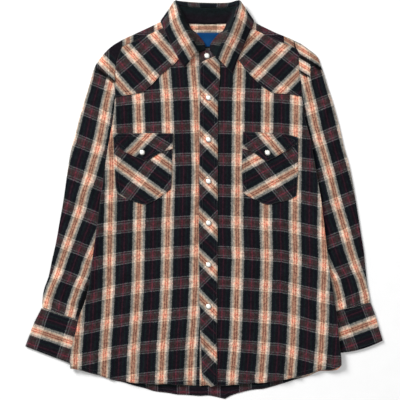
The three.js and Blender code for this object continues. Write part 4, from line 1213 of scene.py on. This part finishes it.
# Collar: a stand that rises from the neck seam and a pointed leaf that turns over it. The stand's
# tab closes over the throat with the first snap. Both are two layers with interlining.
collar_wall = 1.8
collar_rows = np.array([
    (-11.8, 310.8, 11, 3.5, 313.6, 6.2, -14.6, 309.4, 11, 0.5, 9.0, -41, 277.2, 5.3),
    (-21.4, 327.8, 17, 0.5, 329.5, 5.6, -24.6, 326.4, 16.6, 0.5, 12.4, -53.1, 295.3, 7.0),
    (-34.4, 351.3, 21, -14.7, 348.6, 5.0, -38, 349.6, 20.4, 0.5, 15, -67.6, 323.4, 7.2),
    (-47.3, 377.2, 21, -27, 358.6, 4.8, -51, 376, 20.4, 0.5, 16, -79.8, 349.7, 8.3),
    (-55, 403, 18, -31.5, 370.6, 4.6, -58.8, 405, 16.6, 0.5, 14.6, -88.6, 367, 8.6),
    (-56.4, 409.5, 15.4, -31, 371, 4.5, -61, 414.6, 12.6, 0.5, 11, -90.5, 374.5, 6.8),
    (-54, 411.6, 13.8, -30, 371.2, 4.5, -60, 417.2, 10.6, 0.4, 5, -89.5, 375, 1.6),
    (-50, 411, 12.6, -28, 371.4, 4.4, -55.6, 416.4, 8.6, 0.3, 2.0, -84, 364, 0.95),
    (-33.6, 409.4, 11, -14.7, 371.2, 4.3, -34, 414.6, 7.6, 0.22, 1.5, -37.8, 361.6, 1.0),
    (6.3, 407.6, 10.6, 7.4, 370.2, 4.3, 6.3, 412.4, 7.2, 0.22, 1.5, 6.3, 361, 1.0),
    (48.3, 408, 11, 29.4, 371.2, 4.3, 49, 412.6, 7.6, 0.22, 1.5, 52.5, 361.6, 1.0),
    (63, 411, 12.6, 43, 371.4, 4.4, 68.4, 416.6, 8.6, 0.3, 2.0, 97, 364, 0.95),
    (68, 411.6, 13.8, 45.5, 371.2, 4.5, 74, 417.2, 10.6, 0.4, 5, 103.4, 375.4, 1.6),
    (70.4, 409.5, 15.4, 46.5, 371, 4.5, 75.4, 414.6, 12.6, 0.5, 11, 104.4, 374.8, 6.8),
    (69.4, 397, 18, 47.4, 370.6, 4.6, 73.4, 398.6, 16.6, 0.5, 14.6, 102.6, 366, 8.6),
    (58, 366.5, 21, 40.4, 355.4, 4.8, 61.8, 365.4, 20.4, 0.5, 16, 93.5, 346.5, 8.3),
    (49.6, 345, 21, 28.8, 346.5, 5.0, 53.4, 344, 20.4, 0.5, 15, 86.1, 328.9, 7.4),
    (38.6, 323.6, 18, 14, 327.5, 6.0, 42.2, 322.6, 17.4, 0.5, 13, 73.1, 299.3, 7.2),
    (27.9, 296.5, 12.4, 12, 313.6, 6.6, 31, 294.6, 12.2, 0.5, 10, 60.3, 265.2, 5.4),
])


def leaf_row(s):
    fold, seam, turn, edge = s[0:3], s[3:6], s[6:9], s[11:14]
    part = turn + (edge - turn) * s[9]
    part[2] = s[10]
    return [fold + (seam - fold) * 0.13, fold, turn, part, edge]


def stand_row(s):
    fold, seam = s[0:3], s[3:6]
    middle = fold + (seam - fold) * 0.55
    middle[2] -= 0.8
    return [fold + (seam - fold) * 0.145, middle, seam]


def smooth_grid(rows, down, over):
    rows = np.array(rows)
    finer = np.array([through(row, over) for row in rows])
    grid = np.array([through(finer[:, k], down) for k in range(finer.shape[1])]).transpose(1, 0, 2)
    grid[..., 2] = np.maximum(grid[..., 2], collar_wall / 2)
    return grid


def grid_shell(grid, wall):
    """A closed wall on both sides of a sheet of points, its rims rolled over."""
    along = np.gradient(grid, axis=0)
    over = np.gradient(grid, axis=1)
    normal = np.cross(over, along)
    normal /= np.linalg.norm(normal, axis=2)[..., None] + 1e-9
    rows, columns = grid.shape[:2]
    from_row = np.minimum(np.arange(rows), np.arange(rows)[::-1])[:, None]
    from_column = np.minimum(np.arange(columns), np.arange(columns)[::-1])[None]
    rim = np.where(np.minimum(from_row, from_column) == 0, 0.62, 1.0)[..., None]
    offset = normal * wall / 2 * rim
    points = np.concatenate([(grid + offset).reshape(-1, 3), (grid - offset).reshape(-1, 3)])
    count = rows * columns
    faces = []
    for r in range(rows - 1):
        for c in range(columns - 1):
            a = r * columns + c
            faces.append((a, a + 1, a + columns + 1, a + columns))
            faces.append((a + count, a + columns + count, a + columns + 1 + count, a + 1 + count))
    border = list(range(columns))
    border += [r * columns + columns - 1 for r in range(1, rows)]
    border += [(rows - 1) * columns + c for c in range(columns - 2, -1, -1)]
    border += [r * columns for r in range(rows - 2, 0, -1)]
    for a, b in zip(border, border[1:] + border[:1]):
        faces.append((b, a, a + count, b + count))
    return points, faces


def run_over(grid):
    """How far each point of a grid lies along its own row."""
    steps = np.linalg.norm(np.diff(grid, axis=1), axis=2)
    return np.concatenate([np.zeros((len(grid), 1)), np.cumsum(steps, axis=1)], axis=1)


def shell_chart(u, v, faces):
    """Chart values of a grid's wall, the same on both its sides, for each corner of each face."""
    one_side = np.stack([u, np.broadcast_to(v[:, None], u.shape)], 2).reshape(-1, 2)
    return np.concatenate([one_side, one_side])[[i for face in faces for i in face]]


def outward(piece):
    """Turns every face of a piece to its outside."""
    work = bmesh.new()
    work.from_mesh(piece.data)
    bmesh.ops.recalc_face_normals(work, faces=work.faces)
    work.to_mesh(piece.data)
    work.free()


leaf_grid = smooth_grid([leaf_row(s.copy()) for s in collar_rows], 6, 7)
leaf_points, leaf_faces = grid_shell(leaf_grid, collar_wall)
fold_place = 14
fold_line = leaf_grid[:, fold_place]
fold_run = np.concatenate([[0], np.cumsum(np.linalg.norm(np.diff(fold_line, axis=0), axis=1))])
fold_px, fold_py = squares(fold_line[:, 0], fold_line[:, 1])
left_crossing = fold_run[np.argmin(np.hypot(fold_px - 184.4, fold_py - 40.7)[:len(fold_px) // 2])]
half_way = len(fold_px) // 2
right_crossing = fold_run[half_way + np.argmin(np.hypot(fold_px - 232.1, fold_py - 41.4)[half_way:])]
repeats = round((right_crossing - left_crossing) / band_pitch)
leaf_v = (fold_run - left_crossing) / (right_crossing - left_crossing) * repeats
over_run = run_over(leaf_grid)
over_run = over_run - over_run[:, fold_place:fold_place + 1]
leaf_values = shell_chart((over_run - 11.4) / stripe_pitch, leaf_v, leaf_faces)
free_edge = over_run[:, -1:] - over_run
end_gap = np.minimum(fold_run, fold_run[-1] - fold_run)[:, None]
leaf_edge = np.minimum(free_edge, end_gap).reshape(-1)
collar_leaf = make_piece("collar_leaf_cloth", leaf_points, leaf_faces, leaf_values,
                         np.concatenate([leaf_edge, leaf_edge]), flannel_for("flannel_bias"),
                         "collar_leaf")
outward(collar_leaf)

stand_grid = smooth_grid([stand_row(s.copy()) for s in collar_rows], 6, 9)
stand_points, stand_faces = grid_shell(stand_grid, collar_wall)
stand_u = (23.5 + (run_over(stand_grid) - 15) * 0.12) / stripe_pitch
stand_ends = [fold_run[np.argmin(np.hypot(fold_px - px, fold_py - py))]
              for px, py in ((189.5, 38.0), (224.5, 38.0))]
stand_v = 0.5 - sum(0.5 * np.exp(-((fold_run - end) / 26) ** 2) for end in stand_ends)
stand_values = shell_chart(stand_u, stand_v, stand_faces)
tab_outline = [(-9.4, 288.6), (4.2, 294.8), (16.8, 300.4), (31.5, 303.6), (31.5, 315), (16.8, 316),
               (6.3, 315), (-3, 313.4), (-8.4, 309.5), (-9.9, 304)]
tab_under = 4.8
tab_points, tab_faces, tab_edge, tab_line = panel_mesh(
    tab_outline, lambda x, y: np.full_like(x, tab_under), collar_wall, 2.2)


def tab_chart(x, y, *middle):
    return (24 + 0.12 * (x + y - 300)) / stripe_pitch, 0.1 + (x - 10) / 300


tab_values = loops_chart(tab_points, tab_faces, tab_chart)
tab_base = len(stand_points)
stand_edge = np.full(tab_base, 20.0)
collar_stand = make_piece("collar_stand_cloth", np.concatenate([stand_points, tab_points]),
                          stand_faces + [tuple(i + tab_base for i in face) for face in tab_faces],
                          np.concatenate([stand_values, tab_values]),
                          np.concatenate([stand_edge, tab_edge]), flannel_for("flannel_bias"),
                          "collar_stand")
outward(collar_stand)
tab_run = inset_line(tab_line, 2.0)
tab_threads = stitches("collar_tab_stitching", [closed_run(tab_run)],
                       lambda x, y: np.full_like(x, tab_under + collar_wall))

# Neck label: a small loop-woven satin label, plain blue, sewn inside the back yoke.
label_finish = Finish("blue_satin")
label_place = label_finish.node("ShaderNodeTexCoord", output="Object")
label_weave = label_finish.node("ShaderNodeTexWave", {"wave_type": "BANDS", "bands_direction": "Y"}, {
    "Vector": label_place, "Scale": 420.0, "Distortion": 1.5, "Detail": 2.0}, "Fac")
label_finish.set(Base_Color=label_finish.mix(label_weave, shade(0, 50, 92), shade(0, 66, 120)),
                 Roughness=0.7, Specular_IOR_Level=0.12,
                 Normal=label_finish.node("ShaderNodeBump", {}, {
                     "Strength": 0.35, "Distance": 0.0003, "Height": label_weave}))
label_wall = 0.9
label_outline = [(-15, 322), (31, 322), (31, 351), (-15, 351)]


def label_under(x, y):
    return ground(x, y) + layer_rise


label_points, label_faces, label_edge, label_line = panel_mesh(
    label_outline, label_under, label_wall, 2.6)
neck_label = make_piece("neck_label_cloth", label_points, label_faces, plain_chart(label_faces),
                        label_edge, label_finish.material, "neck_label")
label_run = inset_line(label_line, 1.4)
label_threads = stitches("neck_label_stitching", [closed_run(label_run)],
                         lambda x, y: label_under(x, y) + label_wall, step=2.6, size=1.9,
                         radius=0.2)

# Pearl snaps: a plated prong ring pressed into the cloth and a domed pearl cap inside it. Seven
# close the front, the first of them on the collar's tab, and one holds each pocket flap.
steel_finish = Finish("plated_steel")
steel_scratch = steel_finish.spot(900.0, 3.0)
steel_finish.set(Base_Color=steel_finish.mix(steel_scratch, shade(168, 164, 156), shade(214, 210, 202)),
                 Metallic=1.0, Roughness=0.24 + 0.2 * steel_scratch)
pearl_finish = Finish("white_pearl")
pearl_place = pearl_finish.node("ShaderNodeTexCoord", output="Object")
pearl_cloud = pearl_finish.node("ShaderNodeTexNoise", {}, {
    "Vector": pearl_place, "Scale": 260.0, "Detail": 3.0, "Distortion": 1.6}, "Fac")
pearl_finish.set(Base_Color=pearl_finish.mix(pearl_cloud, shade(238, 232, 222), shade(252, 252, 250)),
                 Roughness=0.16, Coat_Weight=0.6, Coat_Roughness=0.08, Subsurface_Weight=0.15,
                 Subsurface_Radius=(0.002, 0.002, 0.002))


def turned_profile(name, profile, material, closed):
    """A round piece: its profile's edge loop is extruded and scaled from one height to the next."""
    bpy.ops.object.select_all(action="DESELECT")
    first_radius, first_height = profile[0]
    bpy.ops.mesh.primitive_circle_add(vertices=40, radius=first_radius / 1000,
                                      location=(0, 0, first_height / 1000))
    piece = bpy.context.active_object
    piece.name = name
    bpy.ops.object.transform_apply(location=True, rotation=False, scale=False)
    bpy.ops.object.mode_set(mode="EDIT")
    bpy.ops.mesh.select_all(action="SELECT")
    radius, height = first_radius, first_height
    for next_radius, next_height in profile[1:]:
        step = (0, 0, (next_height - height) / 1000)
        bpy.ops.mesh.extrude_edges_move(TRANSFORM_OT_translate={"value": step})
        size = next_radius / radius
        bpy.ops.transform.resize(value=(size, size, 1), center_override=(0, 0, next_height / 1000))
        radius, height = next_radius, next_height
    bpy.ops.mesh.select_all(action="SELECT")
    bpy.ops.mesh.region_to_loop()
    if closed:
        bpy.ops.mesh.bridge_edge_loops()
    else:
        bpy.ops.mesh.edge_face_add()
    bpy.ops.mesh.select_all(action="SELECT")
    bpy.ops.mesh.normals_make_consistent(inside=False)
    bpy.ops.object.mode_set(mode="OBJECT")
    rounding = piece.modifiers.new("rounding", "BEVEL")
    rounding.width = 0.00012
    rounding.segments = 2
    rounding.limit_method = "ANGLE"
    bpy.ops.object.modifier_apply(modifier="rounding")
    bpy.ops.object.shade_smooth_by_angle(angle=math.radians(50))
    piece.data.materials.clear()
    piece.data.materials.append(material)
    return piece


ring_profile = [(4.7, 0.1), (5.9, 0.1), (6.0, 0.5), (6.0, 0.9), (5.85, 1.3), (5.5, 1.55), (5.1, 1.55),
                (4.95, 1.3), (4.75, 1.0)]
pearl_profile = [(4.62, 0.3), (4.66, 1.4), (4.55, 1.8), (4.2, 2.25), (3.6, 2.65), (2.8, 2.95),
                 (1.9, 3.12), (0.9, 3.2), (0.2, 3.22)]
ring_model = turned_profile("snap_ring_model", ring_profile, steel_finish.material, True)
pearl_model = turned_profile("snap_pearl_model", pearl_profile, pearl_finish.material, False)
snap_places = [("snap_1", 6.3, 302.4, tab_under + collar_wall)]
for index in range(6):
    snap_y = 214.4 - index * 87.5
    snap_z = float(placket_under(np.array([placket_middle]), np.array([snap_y]))[0]) + placket_wall
    snap_places.append((f"snap_{index + 2}", placket_middle, snap_y, snap_z))
for side, (snap_x, snap_y) in pocket_snaps.items():
    under = pockets[side]["under"]
    snap_z = float(under(np.array([snap_x]), np.array([snap_y]))[0]) + 2 * layer_rise + cloth_wall
    snap_places.append((f"pocket_snap_{side}", snap_x, snap_y, snap_z))
for name, snap_x, snap_y, snap_z in snap_places:
    for model, kind, slot_name in ((ring_model, "ring", "snap_metal"), (pearl_model, "pearl", "pearl")):
        copy = model.copy()
        copy.data = model.data.copy()
        copy.name = f"{name}_{kind}_cap" if kind == "pearl" else f"{name}_{kind}_plated"
        bpy.context.scene.collection.objects.link(copy)
        where = ((snap_x + shift[0]) / 1000, (snap_y + shift[1]) / 1000, snap_z / 1000)
        for vertex in copy.data.vertices:
            vertex.co.x += where[0]
            vertex.co.y += where[1]
            vertex.co.z += where[2]
        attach(copy, "root")
        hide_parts(f"{name}_{kind}")
for model in (ring_model, pearl_model):
    bpy.data.objects.remove(model, do_unlink=True)
